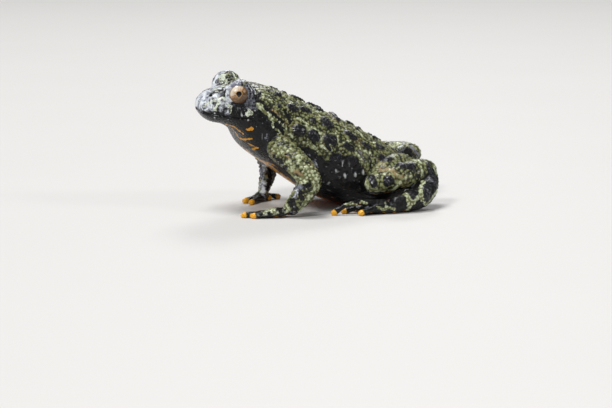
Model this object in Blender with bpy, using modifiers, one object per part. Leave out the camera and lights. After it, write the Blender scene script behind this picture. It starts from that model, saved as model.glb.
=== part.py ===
"""Fire bellied toad: a still, life-size model that sits up on its hands with its hind legs folded.

The snout points to -X, the left side is -Y, and the floor is Z = 0. Sizes are in millimetres and
become metres where a shape is made. The origin is the middle of the part's footprint, on the floor.
"""

import math
import random

import bmesh
import bpy
from mathutils import Matrix, Vector
from mathutils.bvhtree import BVHTree

MM = 0.001

# The left side is towards -Y.
SIDES = {"left": -1, "right": 1}

# The gap between nodes that meet, and the height of the floor.
GAP = 0.3
FLOOR_Z = 0.0

# The trunk and head as one row of sections from the snout to the vent. Each has its top point
# (x, z), its bottom point (x, z) and its half width.
BODY_SECTIONS = (
    (-24.3, 21.2, -24.2, 20.2, 1.2),
    (-23.7, 22.1, -23.7, 18.7, 2.9),
    (-22.1, 23.1, -22.3, 17.6, 4.6),
    (-19.6, 23.9, -19.6, 17.0, 6.2),
    (-16.5, 24.3, -17.3, 15.2, 7.2),
    (-12.7, 24.4, -15.6, 12.3, 7.9),
    (-8.0, 22.9, -11.3, 8.9, 8.5),
    (-3.0, 20.5, -5.8, 4.8, 9.2),
    (2.3, 18.1, -0.6, 1.7, 9.8),
    (7.6, 15.3, 5.0, -0.1, 9.7),
    (12.8, 12.4, 11.5, -0.2, 8.2),
    (16.5, 10.0, 16.0, 0.9, 6.0),
    (19.0, 7.9, 18.6, 3.0, 3.6),
    (20.4, 6.7, 20.2, 4.8, 1.3),
)
SECTION_POINTS = 36
SECTION_STEPS = 5
SECTION_SQUARENESS = 2.3
WIDEST_HEIGHT = 0.42
NECK_SECTION = 5.35
NECK_OVERLAP = 0.9

# The head's turn and tilt to its left, which grow over the neck between two values of x.
HEAD_YAW = 3.5
HEAD_ROLL = 7.0
HEAD_PIVOT = (-11.0, 0.0, 20.5)
NECK_BEND = (-9.0, -14.0)

# Eyes: the mound that carries each eye, the eyeball inside it, and the way it looks.
EYE_RADIUS = 2.3
EYE_OUTWARD = 0.45
SOCKET_GAP = 0.25
MOUND_RADII = (2.95, 3.0, 2.95)
LID_OPENING = 1.95
LID_RIDGE = 0.34
LID_FORWARD = 1.75
OPENING_FORWARD = 2.6
OPENING_DEPTH = 3.0
EYE_MOUND = (-17.2, 4.05, 23.3)
EYE_FORWARD = 0.22
EYE_UPWARD = 0.2

# Mouth: the line between the lips, seen as an arc round a point inside the head.
MOUTH_CENTRE_X = -16.0
MOUTH_HALF_ANGLE = 98
MOUTH_STEPS = 22
MOUTH_FRONT_Z = 19.8
MOUTH_CORNER_Z = 19.2
MOUTH_GROOVE = 0.2
LIP_RADIUS = 0.55
LIP_SPREAD = 0.62
LIP_SINK = 0.32

NOSTRIL_PLACE = (-22.1, 2.3)
NOSTRIL_RADIUS = 0.3

# Arms: points from the shoulder through the elbow to the wrist with the radius at each, the palm's
# middle and radii, and each finger as plan points (x, y) from its root to its tip.
ARMS = {
    "left": {
        "upper": (((-9.0, -5.5, 13.0), 2.5), ((-9.3, -8.5, 12.2), 2.4), ((-7.5, -11.2, 10.4), 2.3),
                  ((-5.9, -13.4, 8.4), 2.15), ((-5.1, -14.3, 6.8), 2.1)),
        "fore": (((-5.1, -14.3, 6.8), 2.1), ((-6.1, -14.8, 5.2), 2.1), ((-7.5, -14.7, 3.4), 1.75),
                 ((-8.8, -14.4, 1.9), 1.5)),
        "palm": ((-11.5, -14.0, 1.0), (2.7, 1.6, 0.9)),
        "fingers": (
            ((-13.0, -13.6), (-15.4, -13.3), (-17.8, -12.9)),
            ((-12.9, -14.6), (-14.5, -14.7), (-16.2, -14.2)),
            ((-12.6, -13.0), (-13.6, -12.4), (-14.7, -11.8)),
            ((-11.6, -13.0), (-11.7, -12.0), (-11.9, -10.9)),
        ),
    },
    "right": {
        "upper": (((-8.6, 5.5, 13.0), 2.5), ((-9.0, 8.0, 11.8), 2.4), ((-8.5, 8.4, 9.6), 2.1),
                  ((-8.0, 7.5, 7.6), 1.95)),
        "fore": (((-8.0, 7.5, 7.6), 1.95), ((-8.2, 6.7, 5.7), 1.65), ((-9.0, 5.8, 3.5), 1.25),
                 ((-9.5, 5.3, 2.0), 1.1)),
        "palm": ((-10.2, 5.0, 1.05), (1.4, 1.5, 0.9)),
        "fingers": (
            ((-10.9, 4.8), (-12.3, 4.2), (-13.8, 3.4)),
            ((-10.6, 4.2), (-11.8, 2.7), (-13.0, 1.3)),
            ((-10.2, 5.3), (-9.3, 5.5), (-8.2, 5.7)),
            ((-9.6, 6.2), (-7.8, 7.2), (-6.0, 7.3)),
        ),
    },
}

# Hind legs, given for the left side. The right one is mirrored, and sits further back and higher.
THIGH = (((17.2, -2.4, 7.2), 2.5), ((14.6, -5.4, 7.3), 2.8), ((12.0, -8.0, 6.8), 2.4),
         ((10.3, -9.4, 6.1), 1.9))
SHANK = (((8.9, -10.9, 5.1), 1.9), ((12.2, -11.3, 6.0), 2.45), ((16.0, -10.2, 6.7), 2.5),
         ((19.2, -8.6, 7.1), 2.3), ((20.4, -8.1, 6.9), 2.1))
TARSUS = (((20.3, -8.3, 6.6), 2.1), ((20.0, -10.0, 4.7), 2.25), ((18.1, -12.3, 2.9), 2.25),
          ((15.0, -14.0, 2.1), 2.05), ((12.2, -14.8, 1.65), 1.6))
SOLE = ((10.6, -14.7, 0.9), (3.0, 1.9, 0.95))
WEB = ((8.0, -14.0, 0.8), (3.8, 2.5, 0.85))
TOES = (
    ((11.2, -13.0), (9.4, -11.9), (7.2, -11.0)),
    ((10.6, -13.6), (7.6, -12.6), (4.6, -11.9)),
    ((9.8, -14.3), (6.0, -13.7), (1.9, -13.3)),
    ((9.6, -15.0), (2.2, -15.0), (-0.5, -14.7)),
    ((10.0, -15.8), (7.4, -16.3), (4.4, -16.5)),
)
RIGHT_LEG_BACK = 2.2
RIGHT_LEG_UP = 1.2
FULL_RISE_Z = 6.0

DIGIT_ROOT_RADIUS = 0.7
DIGIT_RADIUS = 0.5
DIGIT_TIP_RADIUS = 0.62
DIGIT_HEIGHT = 0.42
FINGER_ARCH = 0.35
TOE_ARCHES = (0.9, 0.9, 0.9, 1.58, 0.9)

# The radius of the thin discs that part an arm at its elbow and its wrist.
CUT_RADIUS = 3.2
WRIST_CUT_RADIUS = 2.5

# The large warts of the back's left side: the place along the sections, the angle, and the radius.
BACK_WARTS = (
    (5.85, 118, 0.75),
    (5.85, 142, 0.55),
    (6.3, 99, 0.85),
    (6.4, 134, 1.0),
    (6.65, 162, 1.15),
    (6.9, 124, 0.9),
    (7.15, 98, 0.85),
    (7.2, 136, 0.75),
    (7.2, 158, 1.15),
    (7.7, 130, 1.15),
    (7.8, 154, 1.2),
    (8.1, 106, 0.95),
    (8.1, 171, 0.7),
    (8.45, 152, 0.9),
    (8.55, 134, 0.95),
    (8.7, 98, 0.7),
    (8.7, 165, 0.9),
    (9.2, 138, 0.85),
    (9.65, 106, 0.6),
    (9.7, 128, 0.85),
    (9.95, 148, 1.1),
    (10.5, 114, 0.55),
)

# The warts of the left shank: the place beside it, and the radius.
SHANK_WARTS = (
    ((14.6, -12.9, 8.8), 1.1),
    ((11.0, -13.4, 6.1), 1.05),
    ((20.0, -10.5, 8.2), 0.8),
)

# How far a wart of the right side is off its mirror image: in sections, in degrees, and in size.
WART_DRIFT = (0.12, 6, 0.15)
WART_HEIGHT = 0.5
WART_SIDES = 8
WART_SEED = 11

# How fine each fleshy node is: the remesh step, and the triangles that are left.
HEAD_VOXEL = 0.22
TRUNK_VOXEL = 0.4
THIGH_VOXEL = 0.3
LIMB_VOXEL = 0.2
TRIANGLES = {"head": 2400, "torso": 2000, "arm": 1000, "thigh": 340, "shank": 420, "foot": 900}


# Colours and roughness of the nodes.
SKIN_COLOURS = {
    "head": (0.2, 0.23, 0.16),
    "torso": (0.16, 0.19, 0.09),
    "upper_arm": (0.33, 0.36, 0.16),
    "forearm": (0.24, 0.26, 0.13),
    "hand": (0.3, 0.26, 0.13),
    "thigh": (0.2, 0.23, 0.11),
    "shank": (0.22, 0.26, 0.13),
    "foot": (0.12, 0.15, 0.09),
}
SKIN_ROUGHNESS = 0.4
EYE_COLOUR = (0.62, 0.3, 0.08)
EYE_ROUGHNESS = 0.1


def mm(x, y, z):
    """A point given in millimetres, as a vector in metres."""
    return Vector((x, y, z)) * MM


def link(obj, collection):
    """Puts an object in one collection and returns it."""
    collection.objects.link(obj)
    return obj


def mesh_object(name, bm):
    """A helper object that holds a bmesh, which is freed."""
    mesh = bpy.data.meshes.new(name)
    bm.to_mesh(mesh)
    bm.free()
    obj = link(bpy.data.objects.new(name, mesh), CUTTERS)
    obj.hide_render = True
    obj.display_type = "WIRE"
    return obj


def discard(obj):
    """Removes a helper object and its mesh."""
    mesh = obj.data
    bpy.data.objects.remove(obj)
    bpy.data.meshes.remove(mesh)


def apply_modifiers(obj):
    """Turns an object's modifiers into its mesh."""
    bpy.context.view_layer.update()
    graph = bpy.context.evaluated_depsgraph_get()
    new_mesh = bpy.data.meshes.new_from_object(obj.evaluated_get(graph))
    old_mesh = obj.data
    obj.modifiers.clear()
    obj.data = new_mesh
    bpy.data.meshes.remove(old_mesh)
    return obj


def copy_of(obj, name):
    """A copy of an object with a mesh of its own."""
    twin = obj.copy()
    twin.data = obj.data.copy()
    twin.name = name
    return link(twin, CUTTERS)


def ellipsoid(name, centre, radii, turn=Matrix.Identity(4), sides=24, rings=14):
    """A closed ellipsoid with its centre and radii in millimetres, turned by a matrix."""
    bm = bmesh.new()
    bmesh.ops.create_uvsphere(bm, u_segments=sides, v_segments=rings, radius=1)
    size = Matrix.Diagonal((*(r * MM for r in radii), 1))
    bmesh.ops.transform(bm, matrix=Matrix.Translation(mm(*centre)) @ turn @ size, verts=bm.verts)
    return mesh_object(name, bm)


def tube(name, points, radii, sides=14, steps=5):
    """A tube through the points, in millimetres, with the radius given at each, as a closed mesh."""
    curve = bpy.data.curves.new(name, "CURVE")
    curve.dimensions = "3D"
    curve.bevel_depth = MM
    curve.bevel_resolution = sides // 2 - 2
    curve.resolution_u = steps
    curve.use_fill_caps = True
    spline = curve.splines.new("BEZIER")
    spline.bezier_points.add(len(points) - 1)
    for knot, point, radius in zip(spline.bezier_points, points, radii):
        knot.co = mm(*point)
        knot.radius = radius
        knot.handle_left_type = "AUTO"
        knot.handle_right_type = "AUTO"
    guide = link(bpy.data.objects.new(name, curve), CUTTERS)
    bpy.context.view_layer.update()
    graph = bpy.context.evaluated_depsgraph_get()
    bm = bmesh.new()
    bm.from_mesh(bpy.data.meshes.new_from_object(guide.evaluated_get(graph)))
    bm.transform(guide.matrix_world)
    bmesh.ops.remove_doubles(bm, verts=bm.verts, dist=0.00001)
    bmesh.ops.recalc_face_normals(bm, faces=bm.faces)
    bpy.data.objects.remove(guide)
    bpy.data.curves.remove(curve)
    return mesh_object(name, bm)


def rounded_tube(name, knots, sides=14):
    """A tube with a ball at each end, from pairs of a point and a radius."""
    points = [point for point, _ in knots]
    radii = [radius for _, radius in knots]
    first = ellipsoid(name + "_start", points[0], [radii[0]] * 3)
    last = ellipsoid(name + "_end", points[-1], [radii[-1]] * 3)
    return [tube(name, points, radii, sides), first, last]


def boolean(obj, operation, others, solver="EXACT"):
    """Joins closed objects to a closed object, or cuts them from it, and removes them."""
    pieces = bpy.data.collections.new(obj.name + "_pieces")
    for other in others:
        pieces.objects.link(other)
    modifier = obj.modifiers.new(operation.title(), "BOOLEAN")
    modifier.operation = operation
    modifier.operand_type = "COLLECTION"
    modifier.collection = pieces
    modifier.solver = solver
    apply_modifiers(obj)
    for other in others:
        discard(other)
    bpy.data.collections.remove(pieces)
    return obj


def islands_of(bm):
    """The connected sets of faces of a bmesh."""
    unseen = set(bm.faces)
    islands = []
    while unseen:
        stack = [unseen.pop()]
        island = []
        while stack:
            face = stack.pop()
            island.append(face)
            for edge in face.edges:
                for neighbour in edge.link_faces:
                    if neighbour in unseen:
                        unseen.remove(neighbour)
                        stack.append(neighbour)
        islands.append(island)
    return islands


def keep_island(obj, choose):
    """Keeps the one closed surface of an object for which choose gives the highest value."""
    bm = bmesh.new()
    bm.from_mesh(obj.data)
    kept = max(islands_of(bm), key=choose)
    kept_faces = set(kept)
    bmesh.ops.delete(bm, geom=[f for f in bm.faces if f not in kept_faces], context="FACES")
    bm.to_mesh(obj.data)
    bm.free()
    return obj


def keep_largest(obj):
    """Keeps an object's largest closed surface."""
    return keep_island(obj, lambda island: sum(face.calc_area() for face in island))


def keep_nearest(obj, point):
    """Keeps the closed surface of an object whose middle is nearest to a point in millimetres."""
    target = mm(*point)

    def nearness(island):
        """Minus the distance from the middle of an island to the point."""
        area = sum(face.calc_area() for face in island)
        middle = sum((face.calc_center_median() * face.calc_area() for face in island), Vector())
        return -(middle / area - target).length

    return keep_island(obj, nearness)


def flesh(name, pieces, voxel, smoothing, triangles):
    """One soft closed surface made from pieces that overlap."""
    obj = pieces[0]
    obj.name = name
    if pieces[1:]:
        boolean(obj, "UNION", pieces[1:], "MANIFOLD")
    remesh = obj.modifiers.new("Remesh", "REMESH")
    remesh.mode = "VOXEL"
    remesh.voxel_size = voxel * MM
    smooth = obj.modifiers.new("Smooth", "SMOOTH")
    smooth.factor = 0.5
    smooth.iterations = smoothing
    apply_modifiers(obj)
    keep_largest(obj)
    decimate = obj.modifiers.new("Decimate", "DECIMATE")
    decimate.ratio = triangles / (2 * len(obj.data.polygons))
    apply_modifiers(obj)
    return obj


def inflated(obj):
    """A copy of an object, grown by the gap along its normals."""
    twin = copy_of(obj, obj.name + "_grown")
    displace = twin.modifiers.new("Grow", "DISPLACE")
    displace.strength = GAP * MM
    displace.mid_level = 0
    return apply_modifiers(twin)


def slab(point, along, radius=CUT_RADIUS, thickness=GAP):
    """A thin disc across a limb at a point, in millimetres."""
    bm = bmesh.new()
    bmesh.ops.create_cone(
        bm, cap_ends=True, segments=16, radius1=radius * MM, radius2=radius * MM, depth=thickness * MM
    )
    turn = Vector(along).to_track_quat("Z", "Y").to_matrix().to_4x4()
    bmesh.ops.transform(bm, matrix=Matrix.Translation(mm(*point)) @ turn, verts=bm.verts)
    return mesh_object("slab", bm)


def box(name, low, high):
    """A box between two corners in millimetres."""
    bm = bmesh.new()
    bmesh.ops.create_cube(bm, size=1)
    middle = (mm(*low) + mm(*high)) / 2
    size = mm(*high) - mm(*low)
    bmesh.ops.transform(bm, matrix=Matrix.Translation(middle) @ Matrix.Diagonal((*size, 1)), verts=bm.verts)
    return mesh_object(name, bm)


def floor_block():
    """A block with its top at the floor, which cuts the flats that the toad rests on."""
    return box("floor_block", (-40, -40, -10), (40, 40, FLOOR_Z))


def section_at(place):
    """The five values of the body section at a place along BODY_SECTIONS, whole or between."""
    last = len(BODY_SECTIONS) - 1
    index = min(max(int(place), 0), last - 1)
    t = place - index
    before, start, end, after = (
        BODY_SECTIONS[min(max(i, 0), last)] for i in (index - 1, index, index + 1, index + 2)
    )
    return [
        0.5 * (2 * b + (c - a) * t + (2 * a - 5 * b + 4 * c - d) * t**2 + (3 * b - a - 3 * c + d) * t**3)
        for a, b, c, d in zip(before, start, end, after)
    ]


def head_turn(x):
    """The head's turn about its pivot, as a matrix in millimetres, as much of it as there is at x."""
    start, end = NECK_BEND
    share = min(max((x - start) / (end - start), 0), 1)
    share = share * share * (3 - 2 * share)
    pivot = Matrix.Translation(HEAD_PIVOT)
    yaw = Matrix.Rotation(math.radians(HEAD_YAW * share), 4, "Z")
    roll = Matrix.Rotation(math.radians(HEAD_ROLL * share), 4, "X")
    return pivot @ yaw @ roll @ pivot.inverted()


HEAD_POSE = head_turn(NECK_BEND[1])


def body_point(place, angle):
    """The point of the body's surface at a section and an angle, 0 at the far side and 90 at the top."""
    top_x, top_z, low_x, low_z, half_width = section_at(place)
    cosine = math.cos(math.radians(angle))
    sine = math.sin(math.radians(angle))
    power = 2 / SECTION_SQUARENESS
    side = math.copysign(abs(cosine) ** power, cosine)
    rise = math.copysign(abs(sine) ** power, sine)
    height = WIDEST_HEIGHT + rise * ((1 - WIDEST_HEIGHT) if rise > 0 else WIDEST_HEIGHT)
    x = low_x + (top_x - low_x) * height
    return head_turn(x) @ Vector((x, side * half_width, low_z + (top_z - low_z) * height)) * MM


def body_loft(name, first, last):
    """The body between two sections, as a closed loft."""
    count = round((last - first) * SECTION_STEPS)
    bm = bmesh.new()
    rings = []
    for step in range(count + 1):
        place = first + (last - first) * step / count
        ring = [bm.verts.new(body_point(place, 360 * i / SECTION_POINTS)) for i in range(SECTION_POINTS)]
        rings.append(ring)
    for ring, following in zip(rings, rings[1:]):
        for i in range(SECTION_POINTS):
            j = (i + 1) % SECTION_POINTS
            bm.faces.new((ring[i], ring[j], following[j], following[i]))
    bm.faces.new(rings[0])
    bm.faces.new(rings[-1])
    bmesh.ops.recalc_face_normals(bm, faces=bm.faces)
    return mesh_object(name, bm)


def surface_tree(obj):
    """A tree of an object's faces for ray casts."""
    bm = bmesh.new()
    bm.from_mesh(obj.data)
    tree = BVHTree.FromBMesh(bm)
    bm.free()
    return tree


def mouth_points(tree, rise, sink):
    """Points along the mouth line on the head, raised and sunk by some millimetres."""
    points = []
    for step in range(MOUTH_STEPS + 1):
        angle = math.radians(MOUTH_HALF_ANGLE * (2 * step / MOUTH_STEPS - 1))
        front = max(0, math.cos(angle)) ** 1.5
        z = MOUTH_CORNER_Z + (MOUTH_FRONT_Z - MOUTH_CORNER_Z) * front
        outward = HEAD_POSE.to_3x3() @ Vector((-math.cos(angle), math.sin(angle), 0))
        centre = HEAD_POSE @ Vector((MOUTH_CENTRE_X, 0, z + rise)) * MM
        hit = tree.ray_cast(centre + outward * 20 * MM, -outward)[0]
        points.append((hit - outward * sink * MM) / MM)
    return points


def eye_axis(side):
    """The way an eye looks."""
    return HEAD_POSE.to_3x3() @ Vector((-EYE_FORWARD, SIDES[side], EYE_UPWARD)).normalized()


def eye_mound(side):
    """The middle of the mound that carries an eye, in millimetres."""
    x, y, z = EYE_MOUND
    return HEAD_POSE @ Vector((x, y * SIDES[side], z))


def eye_centre(side):
    """The middle of an eyeball in millimetres."""
    return eye_mound(side) + eye_axis(side) * EYE_OUTWARD


def lid_ridge(side):
    """The raised rim of the lids round an eye, a torus across the way it looks."""
    middle = eye_centre(side) + eye_axis(side) * LID_FORWARD
    bpy.ops.mesh.primitive_torus_add(
        location=mm(*middle),
        rotation=eye_axis(side).to_track_quat("Z", "Y").to_euler(),
        major_radius=(LID_OPENING + LID_RIDGE) * MM,
        minor_radius=LID_RIDGE * MM,
        major_segments=24,
        minor_segments=8,
    )
    ridge = bpy.context.object
    for collection in list(ridge.users_collection):
        collection.objects.unlink(ridge)
    link(ridge, CUTTERS)
    ridge.hide_render = True
    return ridge


def make_head():
    """The head in front of the neck cut, with lids, lips, mouth line and nostrils."""
    skull = body_loft("skull", 0, NECK_SECTION + NECK_OVERLAP)
    tree = surface_tree(skull)
    pieces = [skull]
    for rise in (LIP_SPREAD, -LIP_SPREAD):
        lip_line = mouth_points(tree, rise, LIP_SINK)
        pieces.append(tube("lip", lip_line, [LIP_RADIUS] * len(lip_line), 10, 2))
    for side in SIDES:
        pieces.append(ellipsoid("mound", eye_mound(side), MOUND_RADII))
        pieces.append(lid_ridge(side))
    head = flesh("head", pieces, HEAD_VOXEL, 2, TRIANGLES["head"])
    tree = surface_tree(head)
    cutters = []
    for side, sign in SIDES.items():
        cutters.append(ellipsoid("socket", eye_centre(side), [EYE_RADIUS + SOCKET_GAP] * 3, sides=16, rings=10))
        opening = eye_centre(side) + eye_axis(side) * OPENING_FORWARD
        cutters.append(slab(opening, eye_axis(side), LID_OPENING, OPENING_DEPTH))
        above = HEAD_POSE @ Vector((NOSTRIL_PLACE[0], sign * NOSTRIL_PLACE[1], 40)) * MM
        nostril = tree.ray_cast(above, HEAD_POSE.to_3x3() @ Vector((0, 0, -1)))[0] / MM
        cutters.append(ellipsoid("nostril", nostril, [NOSTRIL_RADIUS * 1.3, NOSTRIL_RADIUS, NOSTRIL_RADIUS],
                                 sides=8, rings=6))
    groove = mouth_points(tree, 0, 0)
    cutters.append(tube("groove", groove, [MOUTH_GROOVE] * len(groove), 8, 1))
    boolean(head, "DIFFERENCE", cutters)
    return head


def cut_at_neck(obj, behind):
    """Keeps the part of a node behind the neck, or in front of it, short of the middle by half a gap."""
    top_x, top_z, low_x, low_z, _ = section_at(NECK_SECTION)
    along = Vector((top_z - low_z, 0, low_x - top_x)).normalized()
    middle = Vector(((top_x + low_x) / 2, 0, (top_z + low_z) / 2))
    reach = 30
    away = -along if behind else along
    centre = middle + away * (reach / 2 - GAP / 2)
    boolean(obj, "DIFFERENCE", [slab(centre, away, 40, reach)])
    return keep_largest(obj)


def wart(place, normal, radius):
    """One flattened dome with its root sunk in the skin."""
    turn = normal.to_track_quat("Z", "Y").to_matrix().to_4x4()
    return ellipsoid("wart", place / MM, (radius, radius, radius * WART_HEIGHT), turn, WART_SIDES, 5)


def wart_spots():
    """The warts of the back on the left, then their like on the right, each a little off its mirror image."""
    draw = random.Random(WART_SEED)
    along, around, size = WART_DRIFT
    likes = [
        (
            place + draw.uniform(-along, along),
            180 - angle + draw.uniform(-around, around),
            radius * (1 + draw.uniform(-size, size)),
        )
        for place, angle, radius in BACK_WARTS
    ]
    return list(BACK_WARTS) + likes


def back_warts(torso, limbs):
    """The warts of the back, clear of the limbs and of each other."""
    tree = surface_tree(torso)
    limb_trees = [surface_tree(limb) for limb in limbs]
    made = []
    for place, angle, radius in wart_spots():
        hit, normal, _, _ = tree.find_nearest(body_point(place, angle))
        limb_room = min(limb_tree.find_nearest(hit)[3] for limb_tree in limb_trees) / MM
        wart_room = min([(hit - other).length / MM - reach for other, _, reach in made], default=radius)
        if limb_room > radius + GAP and wart_room >= radius:
            made.append((hit, normal, radius))
    return [wart(*spot) for spot in made]


def shank_warts(shank, side):
    """The warts of a shank."""
    tree = surface_tree(shank)
    warts = []
    for place, radius in SHANK_WARTS:
        hit, normal, _, _ = tree.find_nearest(mm(*on_side(place, side)))
        warts.append(wart(hit, normal, radius))
    return warts


def make_torso():
    """The trunk from the neck to the vent, before it is cut at the neck and gets its warts."""
    trunk = body_loft("trunk", NECK_SECTION - NECK_OVERLAP, len(BODY_SECTIONS) - 1)
    return flesh("torso", [trunk], TRUNK_VOXEL, 3, TRIANGLES["torso"])


def digit(name, path, arch):
    """A finger or toe from plan points (x, y), its middle raised by its arch and its tip on the floor."""
    root, middle, tip = path
    points = [(*root, DIGIT_HEIGHT + arch), (*middle, DIGIT_HEIGHT + arch), (*tip, DIGIT_HEIGHT)]
    pad = ellipsoid(name + "_tip", points[-1], [DIGIT_TIP_RADIUS] * 3, sides=14, rings=10)
    return [tube(name, points, [DIGIT_ROOT_RADIUS, DIGIT_RADIUS, DIGIT_RADIUS], 10, 4), pad]


def make_arm(side, torso):
    """An arm and hand as one surface, parted at the elbow and the wrist and cut clear of the torso."""
    sizes = ARMS[side]
    centre, radii = sizes["palm"]
    pieces = rounded_tube("upper", sizes["upper"]) + rounded_tube("fore", sizes["fore"])
    pieces.append(ellipsoid("palm", centre, radii))
    for path in sizes["fingers"]:
        pieces += digit("finger", path, FINGER_ARCH)
    arm = flesh(side + "_arm", pieces, LIMB_VOXEL, 2, TRIANGLES["arm"])
    boolean(arm, "DIFFERENCE", [floor_block()])
    boolean(arm, "DIFFERENCE", [inflated(torso)])
    keep_largest(arm)
    elbow = Vector(sizes["fore"][0][0])
    wrist = Vector(sizes["fore"][-1][0])
    before = Vector(sizes["upper"][-2][0])
    after = Vector(sizes["fore"][1][0])
    elbow_slab = slab(elbow, (elbow - before).normalized() + (after - elbow).normalized())
    wrist_slab = slab(wrist, wrist - Vector(sizes["fore"][-2][0]), WRIST_CUT_RADIUS)
    boolean(arm, "DIFFERENCE", [elbow_slab, wrist_slab])
    upper = keep_nearest(copy_of(arm, side + "_upper_arm"), sizes["upper"][1][0])
    fore = keep_nearest(copy_of(arm, side + "_forearm"), sizes["fore"][2][0])
    hand = keep_nearest(copy_of(arm, side + "_hand"), centre)
    discard(arm)
    return [upper, fore, hand]


def on_side(point, side):
    """A point of the left hind leg, or its mirror image on the right leg, which sits back and up."""
    x, y, z = point
    if side == "left":
        return point
    return x + RIGHT_LEG_BACK, -y, z + RIGHT_LEG_UP * min(1, z / FULL_RISE_Z)


def knots_on(knots, side):
    """Pairs of a point and a radius, for one side."""
    return [(on_side(point, side), radius) for point, radius in knots]


def make_leg(side, torso):
    """A folded hind leg: thigh, shank and foot, each cut clear of the pieces that it lies against."""
    thigh = flesh(side + "_thigh", rounded_tube("thigh", knots_on(THIGH, side)), THIGH_VOXEL, 2,
                  TRIANGLES["thigh"])
    boolean(thigh, "DIFFERENCE", [inflated(torso)])
    keep_largest(thigh)
    shank = flesh(side + "_shank", rounded_tube("shank", knots_on(SHANK, side)), LIMB_VOXEL, 2,
                  TRIANGLES["shank"])
    boolean(shank, "UNION", shank_warts(shank, side))
    boolean(shank, "DIFFERENCE", [inflated(torso), inflated(thigh)])
    keep_largest(shank)
    pieces = rounded_tube("tarsus", knots_on(TARSUS, side))
    for name, (centre, radii) in (("sole", SOLE), ("web", WEB)):
        x, y, _ = on_side(centre, side)
        pieces.append(ellipsoid(name, (x, y, centre[2]), radii))
    for path, arch in zip(TOES, TOE_ARCHES):
        pieces += digit("toe", [on_side((x, y, 0), side)[:2] for x, y in path], arch)
    foot = flesh(side + "_foot", pieces, LIMB_VOXEL, 2, TRIANGLES["foot"])
    boolean(foot, "DIFFERENCE", [floor_block(), inflated(torso), inflated(thigh), inflated(shank)])
    keep_largest(foot)
    return [thigh, shank, foot]


def make_eye(side):
    """One eyeball."""
    return ellipsoid(side + "_eye", eye_centre(side), [EYE_RADIUS] * 3, sides=16, rings=10)


def material(name, colour, roughness):
    """A plain material with a colour and a roughness."""
    made = bpy.data.materials.new(name)
    made.use_nodes = True
    shader = made.node_tree.nodes["Principled BSDF"]
    shader.inputs["Base Color"].default_value = (*colour, 1)
    shader.inputs["Roughness"].default_value = roughness
    made.diffuse_color = (*colour, 1)
    return made


def finish_node(obj, colour, roughness, root):
    """Makes a helper a visible node with a material, its origin at its middle, under the root."""
    middle = sum((Vector(corner) for corner in obj.bound_box), Vector()) / 8
    obj.data.transform(Matrix.Translation(-middle))
    obj.location = middle
    obj.data.materials.clear()
    obj.data.materials.append(material(obj.name + "_skin", colour, roughness))
    obj.data.shade_smooth()
    obj.data.set_sharp_from_angle(angle=math.radians(40))
    CUTTERS.objects.unlink(obj)
    link(obj, TOAD)
    obj.hide_render = False
    obj.display_type = "TEXTURED"
    obj.parent = root


def clear_scene():
    """Removes the objects that the file opens with."""
    for obj in list(bpy.data.objects):
        bpy.data.objects.remove(obj)


clear_scene()
TOAD = bpy.data.collections.new("fire_bellied_toad")
CUTTERS = bpy.data.collections.new("cutters")
bpy.context.scene.collection.children.link(TOAD)
bpy.context.scene.collection.children.link(CUTTERS)


def main():
    """Makes every node, then sets the toad over the origin."""
    root = link(bpy.data.objects.new("toad_root", None), TOAD)
    torso = make_torso()
    head = cut_at_neck(make_head(), behind=False)
    limbs = []
    for side in SIDES:
        limbs += make_arm(side, torso)
        limbs += make_leg(side, torso)
    cut_at_neck(torso, behind=True)
    boolean(torso, "UNION", back_warts(torso, limbs))
    boolean(torso, "DIFFERENCE", [floor_block()])
    keep_largest(torso)
    for obj in [head, torso] + limbs:
        finish_node(obj, SKIN_COLOURS[obj.name.split("_", 1)[-1]], SKIN_ROUGHNESS, root)
    for side in SIDES:
        finish_node(make_eye(side), EYE_COLOUR, EYE_ROUGHNESS, root)
    bpy.context.view_layer.update()
    corners = [o.matrix_world @ Vector(c) for o in TOAD.objects if o.type == "MESH" for c in o.bound_box]
    low = Vector(min(c[i] for c in corners) for i in range(3))
    high = Vector(max(c[i] for c in corners) for i in range(3))
    root.location = (-(low.x + high.x) / 2, -(low.y + high.y) / 2, -low.z)


main()
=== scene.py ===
"""Looks of the fire bellied toad: one moist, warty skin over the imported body, and two copper eyes.

Shapes are worked in millimetres in the toad's own frame, with the snout towards -X, the left side
towards -Y and the floor at Z = 0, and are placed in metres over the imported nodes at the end.
"""

import itertools
import logging
import math
import random
from collections.abc import Callable
from dataclasses import dataclass
from enum import Enum

import bpy
import numpy as np
from mathutils import Matrix, Vector, noise
from mathutils.bvhtree import BVHTree
from mathutils.kdtree import KDTree


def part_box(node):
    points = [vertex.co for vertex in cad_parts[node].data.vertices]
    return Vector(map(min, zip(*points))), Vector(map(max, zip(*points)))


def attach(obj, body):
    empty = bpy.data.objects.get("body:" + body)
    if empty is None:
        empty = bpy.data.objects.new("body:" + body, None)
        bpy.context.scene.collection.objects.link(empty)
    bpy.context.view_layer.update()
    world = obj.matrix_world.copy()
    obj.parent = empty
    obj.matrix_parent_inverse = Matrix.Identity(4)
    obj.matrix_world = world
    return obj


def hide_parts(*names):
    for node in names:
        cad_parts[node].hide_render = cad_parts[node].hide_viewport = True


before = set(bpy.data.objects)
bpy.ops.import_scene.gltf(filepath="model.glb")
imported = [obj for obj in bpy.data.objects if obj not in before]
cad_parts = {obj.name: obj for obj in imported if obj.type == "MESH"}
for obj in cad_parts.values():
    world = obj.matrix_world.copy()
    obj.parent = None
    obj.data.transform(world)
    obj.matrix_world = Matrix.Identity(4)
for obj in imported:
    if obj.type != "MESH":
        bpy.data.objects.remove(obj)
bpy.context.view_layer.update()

LOG = logging.getLogger("toad")
MM = 0.001

Point = tuple[float, float, float]
Pixel = tuple[float, float]
Knot = tuple[Point, float]


class Side(Enum):
    """The toad's own left and right, with the sign of y on each."""

    LEFT = -1
    RIGHT = 1


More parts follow.
